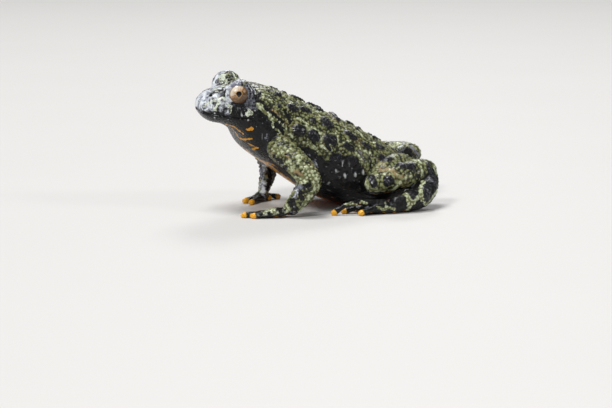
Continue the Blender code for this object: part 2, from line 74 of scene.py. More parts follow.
class Tint(Enum):
    """What a mark on the skin is: mostly the skin's own colours, but the bright specks are largely
    painted glints and the silvery grey is partly painted highlight.
    """

    WART = "wart"
    GREEN = "green"
    PALE = "pale"
    BLACK = "black"
    ORANGE = "orange"
    TIP = "tip"
    GREY = "grey"
    # Bright specks: mostly painted glints on small warts and lumps, and on the lips also pale dots
    # of the skin.
    FLECK = "fleck"
    TAN = "tan"
    RED = "red"
    # Pale silvery grey of the skin, partly painted highlight where the glossy skin faces the light.
    SILVER = "silver"
    FOLD = "fold"


# The tints that have no colour field of their own: black is the skin's ground.
PLAIN = (Tint.BLACK, Tint.FOLD)


@dataclass(frozen=True)
class Mark:
    """One mark on the skin, measured in the photograph's pixels.

    Its path is one point for a spot, or several for a streak. Lift is how far it rises in
    millimetres, and share is how fully it takes the tint: a low share leaves it broken up.
    """

    tint: Tint
    radius: float
    lift: float
    share: float
    path: tuple[Pixel, ...] = ()


def strokes(tint: Tint, *rows: tuple[float | Pixel, ...]) -> tuple[Mark, ...]:
    """Marks of one tint, each row being a radius, a lift, a share and the points of a path."""
    return tuple(Mark(tint, *row[:3], row[3:]) for row in rows)


@dataclass(frozen=True)
class PhotoView:
    """The photograph's viewpoint: where it stands, how it is turned, and its pixels as rays."""

    azimuth: float = -15.0
    elevation: float = 9.5
    distance: float = 340.0
    target: Point = (-2.07, 0.0, -0.09)
    lens: float = 100.0
    sensor: float = 36.0
    width: int = 612
    height: int = 408
    nearest: float = 0.01

    def way(self) -> Vector:
        """The direction from the target to the camera."""
        turn, rise = math.radians(self.azimuth), math.radians(self.elevation)
        flat = math.cos(rise)
        return Vector((math.sin(turn) * flat, -math.cos(turn) * flat, math.sin(rise)))

    def stand(self) -> Vector:
        """The camera's place."""
        return Vector(self.target) + self.way() * self.distance

    def pixel_size(self) -> float:
        """The millimetres that one pixel covers at the target."""
        return self.distance * self.sensor / self.lens / self.width

    def ray(self, pixel: Pixel) -> Vector:
        """The direction in which a pixel looks.

        Args:
            pixel: its place across and down the photograph.

        Returns:
            A unit vector away from the camera.
        """
        focal = self.lens / self.sensor * self.width
        turn = math.radians(self.azimuth)
        right = Vector((math.cos(turn), math.sin(turn), 0))
        up = self.way().cross(right)
        across = (pixel[0] - self.width / 2) / focal
        down = (pixel[1] - self.height / 2) / focal
        return (-self.way() + right * across - up * down).normalized()

    def build(self, shift: Vector) -> bpy.types.Object:
        """Sets up the scene's camera.

        Args:
            shift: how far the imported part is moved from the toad's own frame, in millimetres.

        Returns:
            The camera object.
        """
        bpy.ops.object.camera_add(location=(self.stand() + shift) * MM)
        camera = bpy.context.object
        camera.name = "photo_view"
        camera.rotation_euler = self.way().to_track_quat("Z", "Y").to_euler()
        camera.data.lens = self.lens
        camera.data.sensor_width = self.sensor
        camera.data.clip_start = self.nearest
        bpy.context.scene.camera = camera
        return camera


@dataclass(frozen=True)
class Lamp:
    """One square soft light: where it stands and its side, in metres, and its power in watts."""

    name: str
    place: Point
    size: float
    power: float


@dataclass(frozen=True)
class Studio:
    """A plain pale floor under soft light."""

    floor_size: float = 8.0
    floor_colour: Point = (0.66, 0.65, 0.635)
    floor_shade: float = 0.97
    floor_grain: float = 0.02
    floor_roughness: float = 0.6
    sky: float = 0.17
    aim: Point = (0.0, 0.0, 0.01)
    lamps: tuple[Lamp, ...] = (
        Lamp("top_light", (-0.36, 0.22, 1.66), 0.7, 22.0),
        Lamp("key_light", (-1.02, -0.86, 1.26), 0.34, 15.0),
        Lamp("side_light", (1.30, -0.80, 0.86), 0.36, 4.0),
        Lamp("back_light", (0.58, 1.51, 1.22), 0.50, 8.0),
    )

    def lamp(self, plan: Lamp) -> None:
        """Adds one light that faces the toad."""
        bpy.ops.object.light_add(type="AREA", location=plan.place)
        light = bpy.context.object
        light.name = plan.name
        away = Vector(plan.place) - Vector(self.aim)
        light.rotation_euler = away.to_track_quat("Z", "Y").to_euler()
        light.data.size = plan.size
        light.data.energy = plan.power

    def build(self) -> None:
        """Makes the floor, the sky and the lights."""
        bpy.ops.object.select_all(action="DESELECT")
        bpy.ops.mesh.primitive_plane_add(size=self.floor_size)
        floor = bpy.context.object
        floor.name = "studio_floor"
        board = Board("floor_finish")
        grain = board.noise(board.place(), self.floor_grain, 3)
        board.feed("Roughness", self.floor_roughness)
        dark = tuple(self.floor_shade * value for value in self.floor_colour)
        board.feed("Base Color", board.mix(grain, dark, self.floor_colour))
        floor.data.materials.append(board.material)
        world = bpy.data.worlds.new("studio")
        world.use_nodes = True
        sky = world.node_tree.nodes["Background"].inputs
        sky["Color"].default_value = (1, 1, 1, 1)
        sky["Strength"].default_value = self.sky
        bpy.context.scene.world = world
        bpy.context.scene.view_settings.view_transform = "Standard"
        for plan in self.lamps:
            self.lamp(plan)


class Board:
    """The nodes of one material, with a short call for each kind."""

    def __init__(self, name: str) -> None:
        """Starts a material with its shader."""
        self.material = bpy.data.materials.new(name)
        self.material.use_nodes = True
        self.tree = self.material.node_tree
        self.shader = self.tree.nodes["Principled BSDF"]

    def node(self, kind: str, **settings: object) -> bpy.types.Node:
        """Adds one node.

        Args:
            kind: the node's type name.
            settings: values for its properties.

        Returns:
            The node.
        """
        made = self.tree.nodes.new(kind)
        for name, value in settings.items():
            setattr(made, name, value)
        return made

    def put(self, socket: bpy.types.NodeSocket, value: object) -> None:
        """Links or sets a socket.

        Args:
            socket: the input to feed.
            value: another node's output, a number or a colour.
        """
        if isinstance(value, bpy.types.NodeSocket):
            self.tree.links.new(value, socket)
        elif isinstance(value, tuple) and socket.type == "RGBA":
            socket.default_value = (*value, 1)
        else:
            socket.default_value = value

    def feed(self, name: str, value: object) -> None:
        """Feeds one of the shader's own inputs."""
        self.put(self.shader.inputs[name], value)

    def place(self) -> bpy.types.NodeSocket:
        """The object's own coordinates in millimetres."""
        where = self.node("ShaderNodeTexCoord")
        mapping = self.node("ShaderNodeMapping")
        self.put(mapping.inputs["Scale"], (1 / MM,) * 3)
        self.put(mapping.inputs["Vector"], where.outputs["Object"])
        return mapping.outputs["Vector"]

    def attribute(self, name: str, output: str = "Fac") -> bpy.types.NodeSocket:
        """A value that is stored on the mesh."""
        return self.node("ShaderNodeAttribute", attribute_name=name).outputs[output]

    def noise(
        self, place: object, scale: float, detail: float, rough: float = 0.5
    ) -> bpy.types.NodeSocket:
        """A noise value from 0 to 1.

        Args:
            place: the coordinates.
            scale: cycles in a millimetre.
            detail: octaves.
            rough: how strong the fine octaves are.

        Returns:
            The value's socket.
        """
        made = self.node("ShaderNodeTexNoise")
        self.put(made.inputs["Vector"], place)
        self.put(made.inputs["Scale"], scale)
        self.put(made.inputs["Detail"], detail)
        self.put(made.inputs["Roughness"], rough)
        return made.outputs["Fac"]

    def cells(self, place: object, scale: float) -> bpy.types.NodeSocket:
        """The distance to the nearest of many scattered points.

        Args:
            place: the coordinates.
            scale: cells in a millimetre.

        Returns:
            The distance's socket.
        """
        made = self.node("ShaderNodeTexVoronoi")
        self.put(made.inputs["Vector"], place)
        self.put(made.inputs["Scale"], scale)
        return made.outputs["Distance"]

    def math(self, operation: str, first: object, second: object) -> bpy.types.NodeSocket:
        """One arithmetic step.

        Args:
            operation: the Math node's operation.
            first: the first value.
            second: the second value.

        Returns:
            The result's socket.
        """
        made = self.node("ShaderNodeMath", operation=operation)
        self.put(made.inputs[0], first)
        self.put(made.inputs[1], second)
        return made.outputs["Value"]

    def add(self, first: object, second: object) -> bpy.types.NodeSocket:
        """Two values added."""
        return self.math("ADD", first, second)

    def less(self, first: object, second: object) -> bpy.types.NodeSocket:
        """The first value less the second."""
        return self.math("SUBTRACT", first, second)

    def times(self, first: object, second: object) -> bpy.types.NodeSocket:
        """Two values multiplied."""
        return self.math("MULTIPLY", first, second)

    def step(self, value: object, low: float, high: float) -> bpy.types.NodeSocket:
        """A smooth step from 0 at low to 1 at high."""
        made = self.node("ShaderNodeMapRange", interpolation_type="SMOOTHSTEP")
        self.put(made.inputs["Value"], value)
        self.put(made.inputs["From Min"], low)
        self.put(made.inputs["From Max"], high)
        return made.outputs["Result"]

    def mix(self, share: object, first: object, second: object) -> bpy.types.NodeSocket:
        """Two colours mixed.

        Args:
            share: how much of the second there is.
            first: the first colour.
            second: the second colour.

        Returns:
            The colour's socket.
        """
        made = self.node("ShaderNodeMix", data_type="RGBA")
        self.put(made.inputs["Factor"], share)
        self.put(made.inputs[6], first)
        self.put(made.inputs[7], second)
        return made.outputs[2]

    def bump(self, height: object, depth: float, below: object = None) -> bpy.types.NodeSocket:
        """A bump from a height of 0 to 1.

        Args:
            height: the height's socket.
            depth: its depth in millimetres.
            below: the normal of a coarser bump.

        Returns:
            The normal's socket.
        """
        made = self.node("ShaderNodeBump")
        self.put(made.inputs["Height"], height)
        self.put(made.inputs["Distance"], depth * MM)
        if below is not None:
            self.put(made.inputs["Normal"], below)
        return made.outputs["Normal"]


class Modeller:
    """The operators that rough forms are made with."""

    tube_sides: int = 5
    tube_steps: int = 8
    weld: float = 0.01

    @staticmethod
    def edit(step: Callable[..., object], **settings: object) -> None:
        """Runs one edit-mode operator on the whole of the active form.

        Args:
            step: the operator.
            settings: its values.
        """
        bpy.ops.object.mode_set(mode="EDIT")
        bpy.ops.mesh.select_all(action="SELECT")
        step(**settings)
        bpy.ops.object.mode_set(mode="OBJECT")

    @staticmethod
    def pick(*objects: bpy.types.Object) -> None:
        """Selects only these objects, the first one active."""
        bpy.ops.object.select_all(action="DESELECT")
        for obj in objects:
            obj.select_set(True)
        bpy.context.view_layer.objects.active = objects[0]

    @staticmethod
    def ball(
        name: str, centre: Point, radii: Point, segments: int = 32, rings: int = 20
    ) -> bpy.types.Object:
        """A closed ellipsoid.

        Args:
            name: the form's name.
            centre: its middle.
            radii: its three radii.
            segments: its faces round.
            rings: its faces from pole to pole.

        Returns:
            The new object.
        """
        bpy.ops.object.select_all(action="DESELECT")
        bpy.ops.mesh.primitive_uv_sphere_add(
            segments=segments, ring_count=rings, radius=1, location=centre, scale=radii)
        made = bpy.context.object
        made.name = name
        bpy.ops.object.transform_apply(location=True, rotation=True, scale=True)
        return made

    @staticmethod
    def tube(name: str, knots: tuple[Knot, ...]) -> list[bpy.types.Object]:
        """A tube through points, with the radius given at each, and a ball at each end.

        Args:
            name: the form's name.
            knots: pairs of a point and a radius.

        Returns:
            The tube and its two balls.
        """
        bpy.ops.object.select_all(action="DESELECT")
        bpy.ops.curve.primitive_bezier_curve_add()
        guide = bpy.context.object
        guide.name = name
        guide.data.bevel_depth = 1.0
        guide.data.bevel_resolution = Modeller.tube_sides
        guide.data.resolution_u = Modeller.tube_steps
        guide.data.use_fill_caps = True
        spline = guide.data.splines[0]
        spline.bezier_points.add(len(knots) - 2)
        for knot, (point, radius) in zip(spline.bezier_points, knots):
            knot.co = point
            knot.radius = radius
            knot.handle_left_type = knot.handle_right_type = "AUTO"
        bpy.ops.object.convert(target="MESH")
        Modeller.edit(bpy.ops.mesh.remove_doubles, threshold=Modeller.weld)
        Modeller.edit(bpy.ops.mesh.normals_make_consistent, inside=False)
        made = [guide]
        for point, radius in (knots[0], knots[-1]):
            made.append(Modeller.ball(f"{name}_end", point, (radius,) * 3))
        return made

    @staticmethod
    def modify(obj: bpy.types.Object, kind: str, **settings: object) -> None:
        """Applies one modifier.

        Args:
            obj: the object that takes it.
            kind: the modifier's type.
            settings: its values.
        """
        Modeller.pick(obj)
        bpy.ops.object.modifier_add(type=kind)
        modifier = obj.modifiers[-1]
        for name, value in settings.items():
            setattr(modifier, name, value)
        bpy.ops.object.modifier_apply(modifier=modifier.name)


@dataclass(frozen=True)
class BodyPlan:
    """The trunk and head as sections from the snout to the vent, and the head's turn and tilt.

    Each section has its top point (x, z), its bottom point (x, z) and its half width.
    """

    sections: tuple[tuple[float, ...], ...] = (
        (-24.3, 21.2, -24.2, 20.2, 1.2),
        (-23.7, 22.1, -23.7, 18.7, 2.9),
        (-22.1, 23.1, -22.3, 17.6, 4.6),
        (-19.6, 23.9, -19.6, 17.0, 6.2),
        (-16.5, 24.3, -17.3, 15.2, 7.2),
        (-12.7, 24.4, -15.6, 12.3, 7.9),
        (-8.0, 22.9, -11.3, 8.9, 8.5),
        (-3.0, 20.5, -5.8, 4.8, 9.2),
        (2.3, 18.1, -0.6, 1.7, 9.8),
        (7.6, 15.3, 5.0, -0.1, 9.7),
        (12.8, 12.4, 11.5, -0.2, 8.2),
        (16.5, 10.0, 16.0, 0.9, 6.0),
        (19.0, 7.9, 18.6, 3.0, 3.6),
        (20.4, 6.7, 20.2, 4.8, 1.3),
    )
    squareness: float = 2.3
    widest: float = 0.42
    yaw: float = 3.5
    roll: float = 7.0
    pivot: Point = (-11.0, 0.0, 20.5)
    bend: tuple[float, float] = (-9.0, -14.0)

    def last(self) -> int:
        """The number of the last section."""
        return len(self.sections) - 1

    def section_at(self, place: float) -> list[float]:
        """The five values of the section at a place along the row, whole or between."""
        index = min(max(int(place), 0), self.last() - 1)
        t = place - index
        near = [self.sections[min(max(index + i, 0), self.last())] for i in (-1, 0, 1, 2)]
        return [
            0.5 * (2 * b + (c - a) * t
                   + (2 * a - 5 * b + 4 * c - d) * t**2
                   + (3 * b - a - 3 * c + d) * t**3)
            for a, b, c, d in zip(*near)
        ]

    def head_turn(self, x: float) -> Matrix:
        """The head's turn about its pivot, as much of it as there is at x."""
        start, end = self.bend
        share = min(max((x - start) / (end - start), 0), 1)
        share = share * share * (3 - 2 * share)
        pivot = Matrix.Translation(self.pivot)
        yaw = Matrix.Rotation(math.radians(self.yaw * share), 4, "Z")
        roll = Matrix.Rotation(math.radians(self.roll * share), 4, "X")
        return pivot @ yaw @ roll @ pivot.inverted()

    def head_pose(self) -> Matrix:
        """The whole turn of the head."""
        return self.head_turn(self.bend[1])

    def point(self, place: float, angle: float, reach: float = 1.0) -> Vector:
        """A point of the body.

        Args:
            place: where it is along the sections.
            angle: its angle round the body, 0 at the right side, 90 on top and 180 at the left.
            reach: how far out it is, from 0 at the middle to 1 on the skin.

        Returns:
            The point in millimetres.
        """
        top_x, top_z, low_x, low_z, half_width = self.section_at(place)
        cosine, sine = math.cos(math.radians(angle)), math.sin(math.radians(angle))
        power = 2 / self.squareness
        side = reach * math.copysign(abs(cosine) ** power, cosine)
        rise = reach * math.copysign(abs(sine) ** power, sine)
        height = self.widest + rise * ((1 - self.widest) if rise > 0 else self.widest)
        x = low_x + (top_x - low_x) * height
        return self.head_turn(x) @ Vector((x, side * half_width, low_z + (top_z - low_z) * height))

    def form(self) -> bpy.types.Object:
        """The trunk and head as a ball whose rings are moved onto the sections."""
        trunk = Modeller.ball("trunk_form", (0, 0, 0), (1, 1, 1), 80, 104)
        for vertex in trunk.data.vertices:
            x, y, z = vertex.co
            place = self.last() * math.acos(min(max(z, -1), 1)) / math.pi
            reach = 0 if abs(z) > 0.99999 else 1
            vertex.co = self.point(place, math.degrees(math.atan2(y, x)), reach)
        Modeller.pick(trunk)
        Modeller.edit(bpy.ops.mesh.normals_make_consistent, inside=False)
        return trunk


@dataclass(frozen=True)
class EyePlan:
    """Sizes and places of the eyes and of the mounds that carry them."""

    plan: BodyPlan
    radius: float = 2.3
    mound: Point = (-17.2, 4.05, 23.3)
    mound_radii: Point = (2.95, 3.0, 2.95)
    outward: float = 0.45
    forward: float = 0.22
    upward: float = 0.2

    def axis(self, side: Side) -> Vector:
        """The way an eye looks."""
        look = Vector((-self.forward, side.value, self.upward)).normalized()
        return self.plan.head_pose().to_3x3() @ look

    def mound_centre(self, side: Side) -> Vector:
        """The middle of the mound that carries an eye."""
        x, y, z = self.mound
        return self.plan.head_pose() @ Vector((x, y * side.value, z))

    def centre(self, side: Side) -> Vector:
        """The middle of an eyeball."""
        return self.mound_centre(side) + self.axis(side) * self.outward

    def forms(self) -> list[bpy.types.Object]:
        """The two mounds."""
        middles = [self.mound_centre(side) for side in Side]
        return [Modeller.ball("eye_mound_form", middle, self.mound_radii) for middle in middles]


@dataclass(frozen=True)
class DigitPlan:
    """Thickness and height of the fingers and toes."""

    root: float = 0.72
    middle: float = 0.5
    tip: float = 0.64
    height: float = 0.46

    def knots(self, path: tuple[Pixel, ...], arch: float) -> tuple[Knot, ...]:
        """A digit's knots.

        Args:
            path: its root, middle and tip in plan.
            arch: how far its middle is raised.

        Returns:
            Pairs of a point and a radius.
        """
        root, middle, tip = path
        return (
            ((*root, self.height + arch), self.root),
            ((*middle, self.height + arch), self.middle),
            ((*tip, self.height), self.tip),
        )


@dataclass(frozen=True)
class ArmPlan:
    """One arm from the shoulder to the fingertips."""

    upper: tuple[Knot, ...]
    fore: tuple[Knot, ...]
    palm: tuple[Point, Point]
    fingers: tuple[tuple[Pixel, ...], ...]
    arch: float = 0.35

    def forms(self, digits: DigitPlan) -> list[bpy.types.Object]:
        """The rough forms of the arm and hand."""
        made = [
            *Modeller.tube("upper_arm_form", self.upper),
            *Modeller.tube("forearm_form", self.fore),
            Modeller.ball("palm_form", *self.palm),
        ]
        for path in self.fingers:
            made += Modeller.tube("finger_form", digits.knots(path, self.arch))
        return made

    def tips(self, digits: DigitPlan) -> list[Vector]:
        """The middles of the fingertips."""
        return [Vector((*path[-1], digits.height)) for path in self.fingers]


LEFT_ARM = ArmPlan(
    upper=(((-9.0, -5.5, 13.0), 2.5), ((-9.3, -8.5, 12.2), 2.45), ((-7.5, -11.2, 10.4), 2.35),
           ((-5.9, -13.4, 8.4), 2.2), ((-5.1, -14.3, 6.8), 2.1)),
    fore=(((-5.1, -14.3, 6.8), 2.1), ((-6.1, -14.8, 5.2), 2.1), ((-7.5, -14.7, 3.4), 1.75),
          ((-8.8, -14.4, 1.9), 1.5)),
    palm=((-11.5, -14.0, 1.0), (2.7, 1.6, 0.9)),
    fingers=(
        ((-13.0, -13.6), (-15.4, -13.3), (-17.8, -12.9)),
        ((-12.9, -14.6), (-14.5, -14.7), (-16.2, -14.2)),
        ((-12.6, -13.0), (-13.6, -12.4), (-14.7, -11.8)),
        ((-11.6, -13.0), (-11.7, -12.0), (-11.9, -10.9)),
    ),
)
RIGHT_ARM = ArmPlan(
    upper=(((-8.6, 5.5, 13.0), 2.5), ((-9.0, 8.0, 11.8), 2.4), ((-8.5, 8.4, 9.6), 2.1),
           ((-8.0, 7.5, 7.6), 1.95)),
    fore=(((-8.0, 7.5, 7.6), 1.95), ((-8.2, 6.7, 5.7), 1.65), ((-9.0, 5.8, 3.5), 1.25),
          ((-9.5, 5.3, 2.0), 1.1)),
    palm=((-10.2, 5.0, 1.05), (1.4, 1.5, 0.9)),
    fingers=(
        ((-10.9, 4.8), (-12.3, 4.2), (-13.8, 3.4)),
        ((-10.6, 4.2), (-11.8, 2.7), (-13.0, 1.3)),
        ((-10.2, 5.3), (-9.3, 5.5), (-8.2, 5.7)),
        ((-9.6, 6.2), (-7.8, 7.2), (-6.0, 7.3)),
    ),
)


@dataclass(frozen=True)
class LegPlan:
    """A folded hind leg, given for the left side. The right one sits further back and higher."""

    side: Side
    thigh: tuple[Knot, ...] = (
        ((17.2, -2.4, 7.2), 2.5), ((14.6, -5.4, 7.3), 2.8), ((12.0, -8.0, 6.8), 2.4),
        ((10.3, -9.4, 6.1), 1.9))
    shank: tuple[Knot, ...] = (
        ((8.9, -10.9, 5.1), 1.9), ((12.2, -11.3, 6.0), 2.45), ((16.0, -10.2, 6.7), 2.5),
        ((19.2, -8.6, 7.1), 2.3), ((20.4, -8.1, 6.9), 2.1))
    tarsus: tuple[Knot, ...] = (
        ((20.3, -8.3, 6.6), 2.1), ((20.0, -10.0, 4.7), 2.25), ((18.1, -12.3, 2.9), 2.25),
        ((15.0, -14.0, 2.1), 2.05), ((12.2, -14.8, 1.65), 1.6))
    sole: tuple[Point, Point] = ((10.6, -14.7, 0.9), (3.0, 1.9, 0.95))
    web: tuple[Point, Point] = ((8.0, -14.0, 0.8), (3.8, 2.5, 0.85))
    toes: tuple[tuple[Pixel, ...], ...] = (
        ((11.2, -13.0), (9.4, -11.9), (7.2, -11.0)),
        ((10.6, -13.6), (7.6, -12.6), (4.6, -11.9)),
        ((9.8, -14.3), (6.0, -13.7), (1.9, -13.3)),
        ((9.6, -15.0), (2.2, -15.0), (-0.5, -14.7)),
        ((10.0, -15.8), (7.4, -16.3), (4.4, -16.5)),
    )
    back: float = 2.2
    rise: float = 1.2
    full_rise: float = 6.0
    arches: tuple[float, ...] = (0.9, 0.9, 0.9, 1.58, 0.9)

    def on_side(self, point: Point) -> Point:
        """A point of the left leg, or its place on the right leg."""
        x, y, z = point
        if self.side is Side.LEFT:
            return point
        return x + self.back, -y, z + self.rise * min(1, z / self.full_rise)

    def knots(self, knots: tuple[Knot, ...]) -> tuple[Knot, ...]:
        """Knots moved to this leg's side."""
        return tuple((self.on_side(point), radius) for point, radius in knots)

    def flat(self, path: tuple[Pixel, ...]) -> tuple[Pixel, ...]:
        """A plan path moved to this leg's side."""
        return tuple(self.on_side((x, y, 0))[:2] for x, y in path)

    def forms(self, digits: DigitPlan) -> list[bpy.types.Object]:
        """The rough forms of the leg and foot."""
        made = []
        for knots in (self.thigh, self.shank, self.tarsus):
            made += Modeller.tube("leg_form", self.knots(knots))
        for centre, radii in (self.sole, self.web):
            x, y, _ = self.on_side(centre)
            made.append(Modeller.ball("foot_form", (x, y, centre[2]), radii))
        for path, arch in zip(self.toes, self.arches):
            made += Modeller.tube("toe_form", digits.knots(self.flat(path), arch))
        return made

    def tips(self, digits: DigitPlan) -> list[Vector]:
        """The middles of the toe tips."""
        return [Vector((*self.flat(path)[-1], digits.height)) for path in self.toes]


@dataclass(frozen=True)
class Beads:
    """Strewn humps: spacing and radius in millimetres, how the radii vary, and the first seed."""

    spacing: float
    radius: float
    vary: float
    seed: int


class Flesh:
    """The skin's vertices as arrays in millimetres, which relief and colour are worked on."""

    most_places: int = 24000

    def __init__(self, obj: bpy.types.Object) -> None:
        """Reads an object's mesh."""
        self.obj = obj
        self.read()

    def read(self) -> None:
        """Takes the points and normals from the mesh."""
        vertices = self.obj.data.vertices
        self.points = np.empty((len(vertices), 3), np.float32)
        self.normals = np.empty((len(vertices), 3), np.float32)
        vertices.foreach_get("co", self.points.ravel())
        vertices.foreach_get("normal", self.normals.ravel())

    def write(self) -> None:
        """Puts the points back in the mesh and renews the normals."""
        self.obj.data.vertices.foreach_set("co", self.points.ravel())
        self.obj.data.update()
        self.read()

    def lift(self, height: np.ndarray) -> None:
        """Raises each vertex along its normal by a height in millimetres."""
        self.points += self.normals * height[:, None].astype(np.float32)
        self.write()

    def tree(self) -> BVHTree:
        """A tree of the faces, for rays and nearest points."""
        return BVHTree.FromObject(self.obj, bpy.context.evaluated_depsgraph_get())

    def store(self, name: str, values: np.ndarray) -> None:
        """Keeps one value at each vertex for the materials.

        Args:
            name: the attribute's name.
            values: one value for each vertex.
        """
        kept = self.obj.data.attributes.new(name, "FLOAT", "POINT")
        kept.data.foreach_set("value", values.astype(np.float32))

    def to_points(self, places: np.ndarray) -> np.ndarray:
        """How far each vertex is from the nearest of a few points."""
        return np.min([np.linalg.norm(self.points - place, axis=1) for place in places], axis=0)

    def wobble(self, reach: float, pitch: float, seed: int) -> np.ndarray:
        """A smooth wandering shift for each vertex.

        Args:
            reach: how far it goes in millimetres.
            pitch: how many times it turns in a millimetre.
            seed: the seed of the noise.

        Returns:
            The shifts, one in each row.
        """
        noise.seed_set(seed)
        shifts = [noise.noise_vector(Vector(point) * pitch) for point in self.points]
        return np.array(shifts) * reach

    def to_path(self, path: np.ndarray, points: np.ndarray | None = None) -> np.ndarray:
        """How far each vertex is from a line of points.

        Args:
            path: the line.
            points: where the vertices are taken to be, if not at their own places.

        Returns:
            The distances in millimetres.
        """
        points = self.points if points is None else points
        if len(path) == 1:
            return np.linalg.norm(points - path[0], axis=1)
        nearest = np.full(len(points), np.inf, np.float32)
        for start, end in zip(path, path[1:]):
            way = end - start
            share = np.clip((points - start) @ way / max(way @ way, 1e-9), 0, 1)
            gap = np.linalg.norm(points - start - share[:, None] * way, axis=1)
            nearest = np.minimum(nearest, gap)
        return nearest

    def to_tube(self, knots: tuple[Knot, ...], steps: int = 8) -> np.ndarray:
        """How far each vertex is outside a tube.

        Args:
            knots: the tube's points and radii.
            steps: places that are tried on each stretch.

        Returns:
            The distance in millimetres, below 0 inside.
        """
        nearest = np.full(len(self.points), np.inf, np.float32)
        for (start, thick), (end, thin) in zip(knots, knots[1:]):
            for share in np.linspace(0, 1, steps):
                middle = np.array(start) * (1 - share) + np.array(end) * share
                radius = thick * (1 - share) + thin * share
                gap = np.linalg.norm(self.points - middle, axis=1) - radius
                nearest = np.minimum(nearest, gap)
        return nearest

    def scatter(self, where: np.ndarray, spacing: float, seed: int) -> np.ndarray:
        """Evenly strewn places on the skin.

        Args:
            where: which vertices may be taken.
            spacing: the least distance between two places.
            seed: the seed of the draw.

        Returns:
            The places, one in each row.
        """
        draw = np.random.default_rng(seed)
        order = draw.permutation(np.flatnonzero(where))[: self.most_places]
        grid: dict[tuple[int, int, int], list[np.ndarray]] = {}
        kept = []
        for point in self.points[order]:
            i, j, k = (int(value) for value in np.floor(point / spacing))
            cells = itertools.product((i - 1, i, i + 1), (j - 1, j, j + 1), (k - 1, k, k + 1))
            around = (other for cell in cells for other in grid.get(cell, ()))
            if all(((other - point) ** 2).sum() > spacing**2 for other in around):
                grid.setdefault((i, j, k), []).append(point)
                kept.append(point)
        return np.array(kept)

    def domes(self, beads: Beads, where: np.ndarray, points: np.ndarray) -> np.ndarray:
        """Rounded humps over strewn places.

        Args:
            beads: how far apart and how large they are.
            where: which vertices may carry them.
            points: where the vertices are taken to be.

        Returns:
            For each vertex, 1 on top of a hump and 0 between them.
        """
        centres = self.scatter(where, beads.spacing, beads.seed)
        draw = np.random.default_rng(beads.seed + 1)
        sizes = beads.radius * (1 + draw.uniform(-beads.vary, beads.vary, len(centres)))
        tree = KDTree(len(centres))
        for index, centre in enumerate(centres):
            tree.insert(Vector(centre), index)
        tree.balance()
        found = [tree.find(Vector(point))[1:] for point in points]
        nearest = np.array([index for index, _ in found])
        gap = np.array([distance for _, distance in found])
        return np.clip(1 - (gap / sizes[nearest]) ** 2, 0, 1)


def ramp(values: np.ndarray, low: float, high: float) -> np.ndarray:
    """A smooth step from 0 at low to 1 at high."""
    share = np.clip((values - low) / (high - low), 0, 1)
    return share * share * (3 - 2 * share)


def ridge(distance: np.ndarray, width: float) -> np.ndarray:
    """A rounded ridge, 1 on its line."""
    return np.exp(-((distance / width) ** 2))


@dataclass
class BodyMap:
    """Where each vertex of the skin lies: along and round the trunk, and how near to each limb."""

    flesh: Flesh
    plan: BodyPlan
    legs: dict[Side, LegPlan]
    arms: dict[Side, ArmPlan]
    digits: DigitPlan
    steps: int = 8
    turn: int = 4
    trunk_ease: float = 0.25
    palm_radius: float = 1.3
    sole_radius: float = 1.4
    blend: float = 0.22
    reach: tuple[float, float] = (-3.0, 8.0)

    def __post_init__(self) -> None:
        """Measures the places and the limbs' shares."""
        rows, turns = range(self.plan.last() * self.steps + 1), range(0, 360, self.turn)
        self.keys = [(row / self.steps, angle) for row in rows for angle in turns]
        self.tree = KDTree(len(self.keys))
        for index, (place, angle) in enumerate(self.keys):
            self.tree.insert(self.plan.point(place, angle), index)
        self.tree.balance()
        found = [self.tree.find(Vector(point))[1:] for point in self.flesh.points]
        self.place = np.array([self.keys[index][0] for index, _ in found])
        angle = np.array([self.keys[index][1] for index, _ in found], float)
        angle = np.where(angle > 270, angle - 360, angle)
        self.left = angle > 90
        self.around = 90 + np.abs(angle - 90)
        gaps = {"trunk": np.array([gap for _, gap in found]) - self.trunk_ease}
        for side in Side:
            for part, tubes in self.tubes(side).items():
                nearest = np.min([self.flesh.to_tube(knots) for knots in tubes], axis=0)
                gaps[f"{side.name.lower()}_{part}"] = nearest
        closeness = np.exp(-np.clip(np.array(list(gaps.values())), *self.reach) / self.blend)
        closeness /= closeness.sum(axis=0)
        self.share = dict(zip(gaps, closeness))

    def tubes(self, side: Side) -> dict[str, list[tuple[Knot, ...]]]:
        """The tubes that each part of a side's arm and leg is made of."""
        arm, leg = self.arms[side], self.legs[side]
        palm = tuple((point, self.palm_radius) for point in (arm.fore[-1][0], arm.palm[0]))
        middles = (leg.tarsus[-1][0], leg.sole[0], leg.web[0])
        sole = tuple((leg.on_side(point), self.sole_radius) for point in middles)
        toes = [self.digits.knots(leg.flat(path), arch) for path, arch in zip(leg.toes, leg.arches)]
        return {
            "upper": [arm.upper],
            "fore": [arm.fore],
            "hand": [palm, *[self.digits.knots(path, arm.arch) for path in arm.fingers]],
            "thigh": [leg.knots(leg.thigh)],
            "shank": [leg.knots(leg.shank)],
            "tarsus": [leg.knots(leg.tarsus)],
            "foot": [sole, *toes],
        }

    def of(self, *parts: str) -> np.ndarray:
        """How much each vertex belongs to the named parts, on both sides.

        Args:
            parts: names without their side.

        Returns:
            The shares, from 0 to 1.
        """
        return sum(share for name, share in self.share.items() if name.split("_")[-1] in parts)

    def twin(self, point: Vector) -> Vector:
        """The place on the far side of the trunk that mirrors a place on the near side."""
        place, angle = self.keys[self.tree.find(point)[1]]
        return self.plan.point(place, (180 - angle) % 360)


